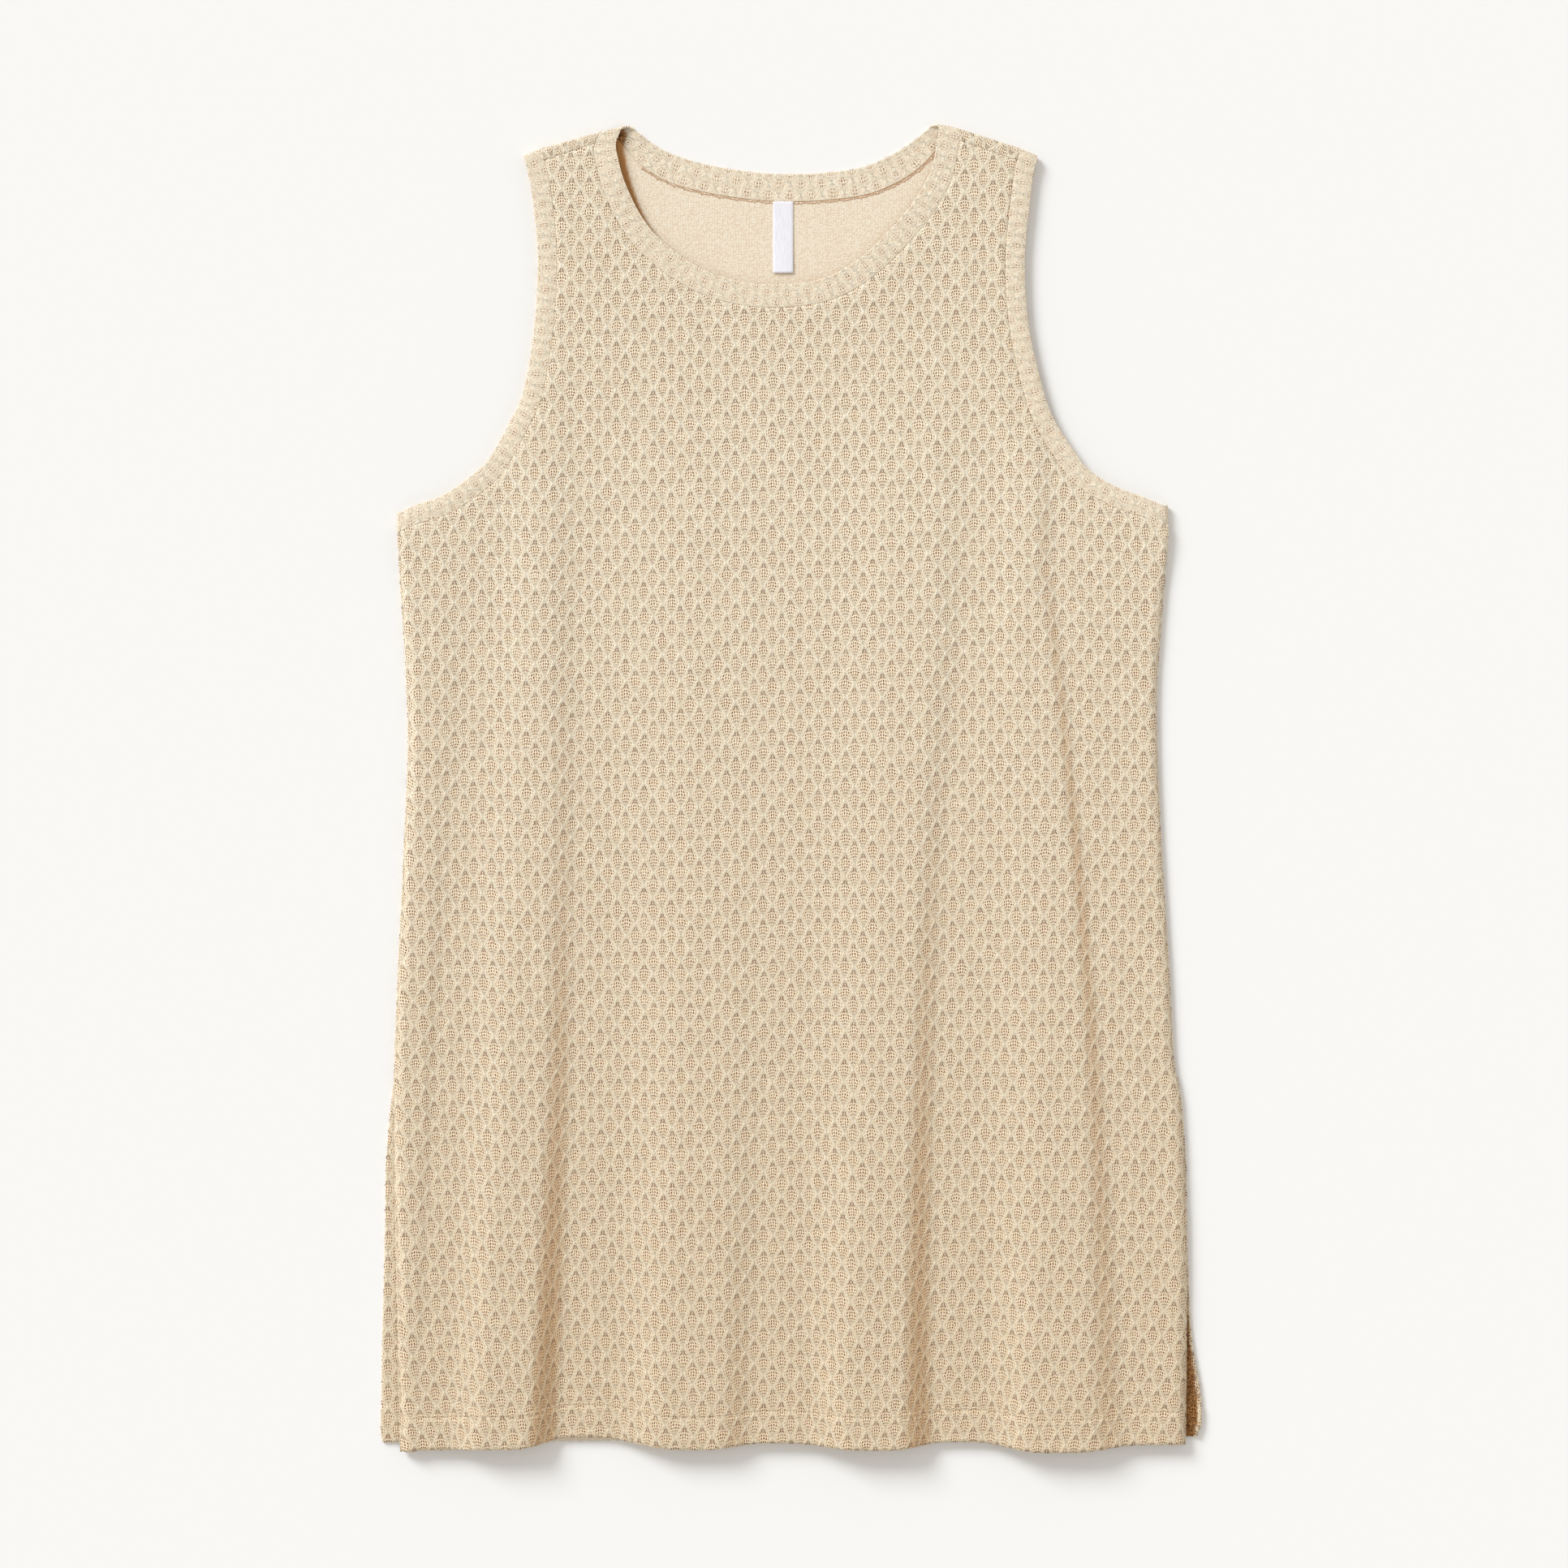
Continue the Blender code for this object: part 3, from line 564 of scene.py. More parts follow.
def new_material(name, finish):
    """A material, its nodes and its shader. finish gives the values of the shader's sockets."""
    made = bpy.data.materials.new(name)
    made.use_nodes = True
    shader = made.node_tree.nodes["Principled BSDF"]
    for socket, value in finish.items():
        shader.inputs[socket].default_value = value
    return made, made.node_tree, shader


# Painted shade: what is seen of the cloth in a fold or gap that faces away from the light, warm from light
# that came through cotton
SHADED_COTTON = "#ba8650"
SHADED_HOLLOW = "#5e3716"
# Towards the hem, in the hollows beside the yarn, and between its hairs
TOWARD_HEM_TONE = "#d3b78c"
BESIDE_YARN = "#deb98a"
BETWEEN_HAIRS = "#dcbf96"
# The inside of a diamond: wales on each side of its middle, and courses in millimetres. An eyelet's width is
# in wales and its length in millimetres. A slit's length is a share of the diamond's half height.
WALES_PER_SIDE = 3.5
COURSE = 2.0
EYELET_WIDTH, EYELET_LENGTH = 0.28, 0.78
SLIT_WIDTH, SLIT_LENGTH, SLIT_UP = 0.36, 0.18, 0.54
# The heights, in millimetres, of a sloping ridge, a crossing, an eyelet, the yarn's strokes and its hairs
RIDGE_RISE, STAR_RISE, EYELET_RISE, STROKE_RISE, HAIR_RISE = 0.4, 0.08, -0.16, -1.0, 0.5
RAMP, NOISE, MIX = "ShaderNodeMapRange", "ShaderNodeTexNoise", "ShaderNodeMix"
SMOOTH = {"interpolation_type": "SMOOTHSTEP"}


def pointelle(name, width, height, colours, openness, reach, ridge_show=1.0, hem_depth=0.0):
    """Cotton pointelle: matt, softly hairy combed yarn in a fine gauge, which scatters light with hardly any
    gloss. Its ridges are pale and close, and between them small eyelets are painted dark, with the shade that
    shows through them. reach is how many wales out, and what share of the way up and down its diamond, the
    eyelets go."""
    yarn, crossing_and_highlight_yarn, middle_yarn, lee_shade_yarn, eyelet_shade = (linear(colour) for colour in colours)
    finish = {"Roughness": 0.92, "Specular IOR Level": 0.15, "Sheen Weight": 0.03, "Sheen Roughness": 0.6}
    made, tree, shader = new_material(name, finish)
    node = partial(add, tree)

    def oval(out, up, full, none, strength=1.0):
        """strength where out and up are small, down to 0 where they are not."""
        away = node("ADD", (node("MULTIPLY", (out, out)), node("MULTIPLY", (up, up))))
        return node(RAMP, (away, full, none, strength, 0.0), **SMOOTH)

    cloth = node("ShaderNodeUVMap", uv_map="cloth")
    # Yarn tension wanders by up to 1.3 mm over some 17 mm, so the rows do too.
    wander = node(NOISE, {"Vector": cloth, "Scale": 0.06, "Detail": 2.0}).outputs["Color"]
    wander = node("ShaderNodeVectorMath", (wander, (0.5, 0.5, 0.5)), operation="SUBTRACT")
    place = node("ShaderNodeVectorMath", (wander, (2.6, 2.6, 0.0), cloth), operation="MULTIPLY_ADD")
    split = node("ShaderNodeSeparateXYZ", (place,))
    across_share = node("DIVIDE", (split.outputs[0], width / MM))
    along_share = node("DIVIDE", (split.outputs[1], height / MM))
    rising = node("ADD", (across_share, along_share))
    falling = node("SUBTRACT", (across_share, along_share))
    spacing = 1 / math.hypot(MM / width, MM / height)
    from_back = node("MULTIPLY", (node("PINGPONG", (rising, 0.5)), spacing))
    from_fore = node("MULTIPLY", (node("PINGPONG", (falling, 0.5)), spacing))
    nearest = node("SMOOTH_MIN", (from_back, from_fore, 0.5))
    star = node(RAMP, (node("MAXIMUM", (from_back, from_fore)), 0.2, 2.6, ridge_show, 0.0), **SMOOTH)
    # Where a fold slopes, the ridges that run down it stand out and the others sink; the ones that stand out
    # also get a painted highlight.
    fall = node("ShaderNodeAttribute", attribute_name="fall").outputs["Fac"]
    shade = node("ShaderNodeAttribute", attribute_name="shade").outputs["Fac"]
    shares = []
    for away, at_left, at_right in ((from_fore, 0.1, ridge_show), (from_back, ridge_show, 0.1)):
        share = node(RAMP, (fall, -0.07, 0.07, at_left, at_right), **SMOOTH)
        shares.append(node("MULTIPLY", (node(RAMP, (away, 0.1, 1.2, 1.0, 0.0), **SMOOTH), share)))
    ridge = node("MAXIMUM", shares)
    slope = node(RAMP, (node("ABSOLUTE", (fall,)), 0.02, 0.16, 0.15, 0.75), **SMOOTH)
    raised_and_highlit = node("MULTIPLY", (ridge, slope))
    # Painted shade: a warmer tone on the far side of a fold, where it falls away from the light
    lee_shade = node(RAMP, (fall, 0.12, 0.6, 0.0, 0.85), **SMOOTH)

    # The place in its diamond. The wales run from its lower to its upper crossing, like lines of longitude.
    rise_part, fall_part = node("FRACT", (rising,)), node("FRACT", (falling,))
    along_unit = node("SUBTRACT", (rise_part, fall_part))
    out_unit = node("ABSOLUTE", (node("SUBTRACT", (node("ADD", (rise_part, fall_part)), 1.0)),))
    from_middle = node("ABSOLUTE", (along_unit,))
    narrowing = node("MAXIMUM", (node("SUBTRACT", (1.0, from_middle)), 0.03))
    wale = node("MULTIPLY", (node("DIVIDE", (out_unit, narrowing)), WALES_PER_SIDE))
    along = node("MULTIPLY", (along_unit, height / MM / 2))
    outward = node("MULTIPLY", (out_unit, width / MM / 2))

    # Eyelets between the wales, in rows that droop to both sides. Each is pulled open differently.
    column = node("SUBTRACT", (node("FRACT", (wale,)), 0.5))
    row = node("PINGPONG", (node("MULTIPLY_ADD", (outward, 0.3, along)), COURSE / 2))
    holes = oval(node("DIVIDE", (column, EYELET_WIDTH)), node("DIVIDE", (row, EYELET_LENGTH)), 0.4, 1.1)
    pull = node(NOISE, {"Vector": cloth, "Scale": 0.5, "Detail": 1.0})
    for share in (
        node(RAMP, (wale, reach[0] - 1.6, reach[0], 1.0, 0.0), **SMOOTH),
        node(RAMP, (from_middle, reach[1] - 0.3, reach[1], 1.0, 0.0), **SMOOTH),
        node("MULTIPLY_ADD", (ridge, -0.8, 1.0)),
        node(RAMP, (pull, 0.36, 0.6, 0.65, 1.15), **SMOOTH),
    ):
        holes = node("MULTIPLY", (holes, share))
    # The upper pair is drawn out into two slits that lean together.
    lean = node("MULTIPLY_ADD", (along_unit, -3.0, 2.72))
    slit = node("DIVIDE", (node("SUBTRACT", (wale, lean)), SLIT_WIDTH))
    slit_up = node("DIVIDE", (node("SUBTRACT", (along_unit, SLIT_UP)), SLIT_LENGTH))
    slits = oval(slit, slit_up, 0.3, 1.05, ridge_show)
    # Some diamonds are stretched open more than others, in patches of about 12 mm.
    patches = node(NOISE, {"Vector": cloth, "Scale": 0.08, "Detail": 3.0})
    stretch = node(RAMP, (patches, 0.34, 0.66, 0.85 * openness, 1.25 * openness), **SMOOTH)
    eyelets = node("MULTIPLY", (node("MAXIMUM", (holes, slits)), stretch))

    # Uneven yarn: short strokes that follow the wales, so that they meet as a herringbone on the ridges. They
    # and the hairs are drawn two to three times as coarse as real ones, so that they show.
    diamond = node("MULTIPLY", (node("FLOOR", (falling,)), 3.1))
    diamond = node("MULTIPLY_ADD", (node("FLOOR", (rising,)), 7.3, diamond))
    stroke = (node("MULTIPLY", (wale, 2.4)), node("MULTIPLY", (along, 0.6)), diamond)
    stroke = node(NOISE, {"Vector": node("ShaderNodeCombineXYZ", stroke), "Scale": 1.0, "Detail": 2.0})
    hairs = node(NOISE, {"Vector": cloth, "Scale": 1.5, "Detail": 4.0})

    # It is darker and warmer towards the hem.
    low = node("ShaderNodeSeparateXYZ", (cloth,)).outputs[1]
    # The painted shade, speckled along the yarn, and darker still in the eyelets
    speckle = node(RAMP, (stroke, 0.40, 0.60, 0.0, 1.0), **SMOOTH)
    ends = {0: speckle, 6: linear(SHADED_COTTON), 7: linear(SHADED_HOLLOW)}
    in_shade = node(MIX, ends, data_type="RGBA").outputs[2]
    dark = node(MIX, {0: shade, 6: eyelet_shade, 7: linear(SHADED_HOLLOW)}, data_type="RGBA").outputs[2]
    colour = yarn
    for share, over in (
        (node(RAMP, (nearest, 0.5, 3.0, 0.0, 1.0), **SMOOTH), middle_yarn),
        # The crossings, and a painted highlight on the ridges that run down a fold
        (node("MAXIMUM", (node("MULTIPLY", (star, 0.45)), raised_and_highlit)), crossing_and_highlight_yarn),
        # Painted shade on a fold's far side, less on its ridges
        (node("MULTIPLY", (lee_shade, node("MULTIPLY_ADD", (ridge, -0.7, 1.0)))), lee_shade_yarn),
        (node(RAMP, (low, -60, 640, hem_depth, 0.0)), linear(TOWARD_HEM_TONE)),
        (node(RAMP, (stroke, 0.44, 0.62, 0.0, 0.42), **SMOOTH), linear(BESIDE_YARN)),
        (node(RAMP, (hairs, 0.40, 0.72, 0.0, 0.22), **SMOOTH), linear(BETWEEN_HAIRS)),
        # Painted shade where the shade mark is set
        (shade, in_shade),
        # Eyelets, painted dark with the shade seen through them
        (eyelets, dark),
    ):
        colour = node(MIX, {0: share, 6: colour, 7: over}, data_type="RGBA").outputs[2]
    tree.links.new(colour, shader.inputs["Base Color"])

    relief = node("MULTIPLY_ADD", (raised_and_highlit, RIDGE_RISE, node("MULTIPLY", (star, STAR_RISE))))
    for part, rise in ((holes, EYELET_RISE), (stroke, STROKE_RISE), (hairs, HAIR_RISE)):
        relief = node("MULTIPLY_ADD", (part, rise, relief))
    bump = node("ShaderNodeBump", {"Height": relief, "Distance": MM, "Strength": 0.9})
    tree.links.new(bump.outputs[0], shader.inputs["Normal"])
    return made


# Yarn, yarn at the crossings and in painted ridge highlights, inside the diamonds, painted shade on a fold's
# far side, and the painted shade in an eyelet
BODY_COLOURS = ("#fff5dd", "#fffae8", "#fff1d6", "#fcd2a5", "#6a2f0b")
body_knit = pointelle(
    "body_pointelle",
    DIAMOND_WIDTH,
    DIAMOND_HEIGHT,
    BODY_COLOURS,
    openness=1.0,
    reach=(3.3, 0.88),
    hem_depth=0.44,
)


def plain_knit(name, colour, hollow):
    """The knit's wrong side: the same cotton in close fine ribs, with no relief of diamonds. It looks flatter
    and darker than the right side."""
    finish = {"Roughness": 0.92, "Specular IOR Level": 0.25, "Sheen Weight": 0.12}
    made, tree, shader = new_material(name, finish)
    node = partial(add, tree)
    cloth = node("ShaderNodeUVMap", uv_map="cloth")
    # Ribs 1.8 mm apart and courses 1.2 mm apart
    loops = node("ShaderNodeVectorMath", (cloth, (0.56, 0.83, 1.0)), operation="MULTIPLY")
    stitches = node("ShaderNodeTexVoronoi", {"Vector": loops, "Scale": 1.0, "Randomness": 0.5})
    mottle = node(NOISE, {"Vector": cloth, "Scale": 1.6, "Detail": 3.0})
    hollows = node("MULTIPLY", (node(RAMP, (stitches, 0.2, 0.7, 0.0, 1.0)), mottle))
    shade = node("ShaderNodeAttribute", attribute_name="shade").outputs["Fac"]
    tone = linear(colour)
    # The stitch hollows, then painted shade where the shade mark is set
    for share, over in ((hollows, hollow), (shade, SHADED_COTTON)):
        tone = node(MIX, {0: share, 6: tone, 7: linear(over)}, data_type="RGBA").outputs[2]
    tree.links.new(tone, shader.inputs["Base Color"])
    bump = node("ShaderNodeBump", {"Height": stitches, "Distance": -0.22 * MM, "Strength": 0.9})
    tree.links.new(bump.outputs[0], shader.inputs["Normal"])
    return made


wrong_side = plain_knit("body_wrong_side", "#efe5d2", "#cbaa83")


def row_rise(x):
    """How far a row of the knit has climbed at x."""
    return ROW_CLIMB * x - ROW_SINK * np.maximum(x - ROW_SINK_FROM, 0)


def threads(name, runs, radius, colour):
    """Sewing thread: spun polyester, twisted and a little glossy, so it stands out from the matt cotton. It
    is a tube with five sides along each of the runs of points."""
    sides = 5
    angles = np.arange(sides) * 2 * math.pi / sides
    points, faces = [], []
    for line in runs:
        side = unit(np.cross(heading(line), (0, 0, 1)))
        over = np.cross(side, heading(line))
        rings = np.cos(angles)[:, None] * side[:, None] + np.sin(angles)[:, None] * over[:, None]
        start = len(points) * sides
        stop = start + sides * len(line)
        points += list(line[:, None] + radius * rings)
        for low in range(start, stop - sides, sides):
            for n in range(sides):
                after = (n + 1) % sides
                faces.append((low + n, low + after, low + sides + after, low + sides + n))
        faces += [tuple(range(start + sides - 1, start - 1, -1)), tuple(range(stop - sides, stop))]
    made, tree, shader = new_material(name, {"Base Color": linear(colour), "Roughness": 0.6})
    place = add(tree, "ShaderNodeTexCoord").outputs["Object"]
    # Twist about 0.8 mm long
    twist = add(tree, NOISE, {"Vector": place, "Scale": 1250.0, "Detail": 1.0})
    bump = add(tree, "ShaderNodeBump", {"Height": twist, "Distance": 0.1 * MM})
    tree.links.new(bump.outputs[0], shader.inputs["Normal"])
    sewn = placed(name, new_mesh(name, np.vstack(points) - ORIGIN, faces, [made]))
    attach(sewn, "root")
    return sewn


def on_cloth(points):
    """Places on the flat cloth of points (x, up)."""
    return np.column_stack([points[:, 0], points[:, 1] - row_rise(points[:, 0])])


def cloth_grid(step_x, step_y, low, high):
    """Points in rows along the knit's, within the given corners."""
    x = np.arange(math.floor(low[0] / step_x), high[0] / step_x + 1) * step_x
    y = np.arange(math.floor(low[1] / step_y) - 4, high[1] / step_y + 4) * step_y
    x, y = np.meshgrid(x, y)
    return np.column_stack([x.ravel(), (y + row_rise(x)).ravel()])


# The corners of the whole garment, with room
LOWEST, HIGHEST = (-0.285, -0.012), (0.29, 0.90)


def shoulder_row(arm_end, neck_end, count=20):
    """Points along a shoulder from the armhole to the neck, between two given ones."""
    return arm_end + np.outer(np.linspace(0, 1, count), neck_end - arm_end)


# The painted shade inside the left half of the neck is a crescent, widest at the shoulder.
CRESCENT_WIDTH = 6 * MM
CRESCENT_EDGE = 2 * MM
CRESCENT_LOW, CRESCENT_RISE = 795 * MM, 85 * MM
NECK_LEFT_END = (-40 * MM, 890 * MM)
# Beside the right vent the back's edge rolls up, and a pale lip of it stands out of the front's shade, which
# is painted on the back.
ROLL_HEIGHT = 1.2 * MM
ROLL_START, ROLL_END = 4 * MM, 3 * MM
LIP_SHARE, LIP_LEAST, LIP_MOST = 0.18, 0.1 * MM, 1.7 * MM
LIP_EDGE = 0.8 * MM
VENT_SHADE_START, VENT_SHADE_EDGE = 3 * MM, 2 * MM
VENT_BLEND = 20 * MM
# The back neck seam is sunk, and painted with shade that grows darker towards the right.
SEAM_GROOVE = 0.3 * MM
GROOVE_WIDTH, GROOVE_SHADE_WIDTH = 1.2 * MM, 1.5 * MM


def neck_shade(points):
    """How much painted shade points (x, up) of the back get from the front's left neck edge."""
    left = neck_front[(neck_front[:, 0] < NECK_LEFT_END[0]) & (neck_front[:, 1] < NECK_LEFT_END[1])]
    away = distance_to(points, respaced(left, 5 * MM))
    width = CRESCENT_WIDTH * swing((points[:, 1] - CRESCENT_LOW) / CRESCENT_RISE)
    return swing((width - away) / CRESCENT_EDGE) * (points[:, 0] < 0)


def vent_reach(points):
    """How far points (x, up) are beyond the front's right edge, and before the back's, below the vent."""
    beyond = points[:, 0] - np.interp(points[:, 1], side_rows[:, 0], side_rows[:, 2])
    before = np.interp(points[:, 1] - HEM_CLIMB, vent_rows[:, 0], vent_rows[:, 2]) - points[:, 0]
    return beyond, before, swing((VENT_TOP - points[:, 1]) / VENT_BLEND)


def back_panel():
    x = respaced(vent_rows[:1, 1:].T, EDGE_STEP)[:, 0]
    hem_up = vent_rows[0, 0] + (x - x[0]) / (x[-1] - x[0]) * HEM_CLIMB
    hem = np.column_stack([x, hem_up])[1:-1]
    sides, rows = {}, {}
    for side in SIDES:
        vent = smooth_curve(vent_rows[:, (1 if side < 0 else 2, 0)], EDGE_STEP)
        vent = vent + (0, HEM_CLIMB if side > 0 else 0)
        curve = side_curve[side][side_curve[side][:, 1] > VENT_TOP + 6 * MM]
        corner = (side_curve[side][-1, 0], arm_edge[side][0, 1])
        sides[side] = np.vstack([uneven(vent[vent[:, 1] < VENT_TOP], side), curve, [corner]])
        rows[side] = shoulder_row(arm_edge[side][-1], neck_back_edge[-1 if side > 0 else 0])
    outline = [uneven(hem, 3), sides[1], arm_edge[1][:-1], rows[1], neck_back_edge[::-1][1:-1]]
    outline = np.vstack([*outline, rows[-1][::-1], arm_edge[-1][::-1][1:], sides[-1][::-1]])
    lines = [hem[3:-3] + (0, depth) for depth in (HEM_DEPTH, HEM_DEPTH + HEM_STEP)]
    grid = cloth_grid(BACK_STEP, BACK_STEP, LOWEST, HIGHEST)
    fine = cloth_grid(FINE_STEP, FINE_STEP, LOWEST, HIGHEST)
    # It is finer where it shows: in the neck and beside the vents.
    seen = (fine[:, 1] > 775 * MM) & (np.abs(fine[:, 0]) < 118 * MM)
    seen |= (fine[:, 1] < VENT_TOP) & ((fine[:, 0] > 258 * MM) | (fine[:, 0] < -252 * MM))
    points, faces = fill(outline, np.vstack([grid, fine[seen]]), 0.6 * FINE_STEP, lines)
    outer, inner = back_wall(points, BODY_CLOTH)
    inner[points[:, 1] - np.interp(points[:, 0], x, hem_up) < HEM_DEPTH + 0.1 * MM, 2] = HEM_CLOTH
    beyond, before, below = vent_reach(points)
    roll = ROLL_HEIGHT * swing(beyond / ROLL_START) * swing((ROLL_END - before) / ROLL_END) * below
    outer[:, 2] += roll
    inner[:, 2] += roll
    from_seam = distance_to(points, respaced(neck_back_edge, 6 * MM))
    inner[:, 2] -= SEAM_GROOVE * np.exp(-((from_seam / GROOVE_WIDTH) ** 2))
    # Painted shade along the seam, stronger towards the right
    rightward = 0.05 + 0.4 * swing((points[:, 0] + 0.02) / 0.11)
    seam_shade = np.exp(-((from_seam / GROOVE_SHADE_WIDTH) ** 2)) * rightward
    # Painted shade on the back beside the right vent, short of its pale lip
    lip = np.clip(LIP_SHARE * (beyond + before), LIP_LEAST, LIP_MOST)
    vent_shade = swing((before - lip) / LIP_EDGE) * swing((beyond + VENT_SHADE_START) / VENT_SHADE_EDGE) * below
    # All the painted shade on the back: beside the left neck edge, along the seam and beside the right vent
    shade = np.max([neck_shade(points), seam_shade, vent_shade], 0)
    cloth = on_cloth(points)
    every = [faces[:, ::-1]]
    for side in SIDES:
        neck = neck_front_edge if side > 0 else neck_front_edge[::-1]
        front = shoulder_row(arm_edge[side][-1], neck[-1])
        row = [int(np.argmin(np.linalg.norm(points - p, axis=1))) for p in rows[side]]
        turn = turn_wall(front, rows[side], (0, 1), BODY_CLOTH, 12)[::-1]
        for flap in np.linspace(0, SHOULDER_SEAM_FORWARD - 3 * MM, 5):
            forward = front
            if flap:
                forward = shoulder_row(shortened(arm_edge[side], flap)[-1], shortened(neck, flap)[-1])
            turn.append(front_wall(forward, BODY_CLOTH))
        travelled = cloth[row]
        last = outer[row]
        for new_outer, new_inner in turn:
            added = np.arange(len(outer), len(outer) + len(new_outer))
            travelled = travelled + np.outer(np.linalg.norm(new_outer - last, axis=1), (0, 1))
            last = new_outer
            outer, inner = np.vstack([outer, new_outer]), np.vstack([inner, new_inner])
            cloth = np.vstack([cloth, travelled])
            strip = [(row[k], row[k + 1], added[k + 1]) for k in range(len(row) - 1)]
            strip += [(row[k], added[k + 1], added[k]) for k in range(len(row) - 1)]
            every.append(np.array(strip)[:, ::side])
            row = added
    faces = np.vstack(every)
    rim = boundary(faces)
    shade = np.append(shade, np.zeros(len(outer) - len(shade)))
    middle = inner[faces].mean(1)
    # Beside the vents the cloth is worked as on its right side.
    shown = (middle[:, 1] < VENT_TOP) & (np.abs(middle[:, 0]) > 245 * MM)
    marks = [("shade", shade, shade)]
    looks = [body_knit, wrong_side]
    return walled("back_panel_cloth", outer, faces, inner, faces, rim, (cloth, cloth), looks, marks, shown)


def panel_sheet(made, node, sewing):
    """Attaches a body panel to the root and hides its CAD part. sewing is the thread that lies on it."""
    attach(made, "root")
    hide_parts(node)


# The overlock's loops are 2.4 mm apart. They go from the seam out over the cloth and rise between.
LOOP_STEP = 1.2 * MM
LOOP_OUT, LOOP_IN = 1.4, 0.2
LOOP_LOW, LOOP_HIGH = 0.15, 0.45
LOOP_WANDER = 0.35
OVERLOCK_RADIUS = 0.26 * MM


def overlock():
    """The overlock along the back neck seam: a zigzag of loops that catches the band's raw edge."""
    line = respaced(neck_back_edge[20:-6], LOOP_STEP)
    count = np.arange(len(line))
    zigzag = np.where(count % 2, LOOP_OUT, LOOP_IN)[:, None] * MM
    wander = (np.sin(count * 1.9) + np.sin(count * 0.7))[:, None] * LOOP_WANDER * MM
    places = line + right_of(line) * (zigzag + wander)
    heights = BODY_CLOTH + np.where(count % 2, LOOP_LOW, LOOP_HIGH) * MM
    # Its tan colour is partly painted shade, that of the groove along the seam
    return threads("overlock_thread", [np.column_stack([places, heights])], OVERLOCK_RADIUS, "#d8ab7e")


panel_sheet(back_panel(), "back_panel", overlock())

# ---- Front panel ---------------------------------------------------------------------------------------
# The front of the body: the same knit, cut shorter at the shoulders and lower at the neck, sewn to the back
# at its sides down to the vents. It lies in soft folds. Its hem is turned up 21 mm and cover-stitched.

SEAM_DIP = 0.25 * MM
SEAM_DIP_WIDTH = 1.6 * MM
# Where a fold's side drops away from the light it is foreshortened and its rows lean.
FOLD_TAKE_UP = 2.0
ROW_LEAN = 0.75
HEM_FURROW = 0.25 * MM
HEM_FURROW_WIDTH = 1.6 * MM
INNER_STEP = 12.0 * MM
# The slopes are worked out on a coarse grid, and fade out towards the free edges.
GRID_X, GRID_UP = 3.0 * MM, 10.0 * MM
FALL_START, FALL_FADE = 4 * MM, 22 * MM
RELIEF_FADE = 5 * MM
LEVEL_RIDGE = 0.4


def on_folds(points):
    """Places on the front's cloth, which runs over the folds, and how steeply it falls to the right there."""
    step = SLOPE_STEP
    slope_x = np.arange(-290 * MM, 291 * MM, GRID_X)
    slope_up = np.arange(-20 * MM, 901 * MM, GRID_UP)
    grid_x, grid_up = np.meshgrid(slope_x, slope_up)
    grid = np.column_stack([grid_x.ravel(), grid_up.ravel()])
    slopes = (front_height(grid + (step, 0)) - front_height(grid - (step, 0))) / (2 * step)
    slopes = slopes.reshape(grid_x.shape)
    run = np.sqrt(1 + (FOLD_TAKE_UP * slopes) ** 2) - 1
    taken = np.cumsum(run, 1) * GRID_X
    taken -= taken[:, [len(slope_x) // 2]]
    k = np.clip((points[:, 0] - slope_x[0]) / GRID_X, 0, len(slope_x) - 1.001)
    j = np.clip((points[:, 1] - slope_up[0]) / GRID_UP, 0, len(slope_up) - 1.001)
    at_k, at_j = k.astype(int), j.astype(int)
    k, j = k - at_k, j - at_j

    def lookup(values):
        low = values[at_j, at_k] * (1 - k) + values[at_j, at_k + 1] * k
        return low * (1 - j) + (values[at_j + 1, at_k] * (1 - k) + values[at_j + 1, at_k + 1] * k) * j

    cloth = on_cloth(points)
    cloth[:, 0] += lookup(taken)
    cloth[:, 1] += ROW_LEAN * (front_height(points) - CHEST_HEIGHT)
    return cloth, -lookup(slopes)


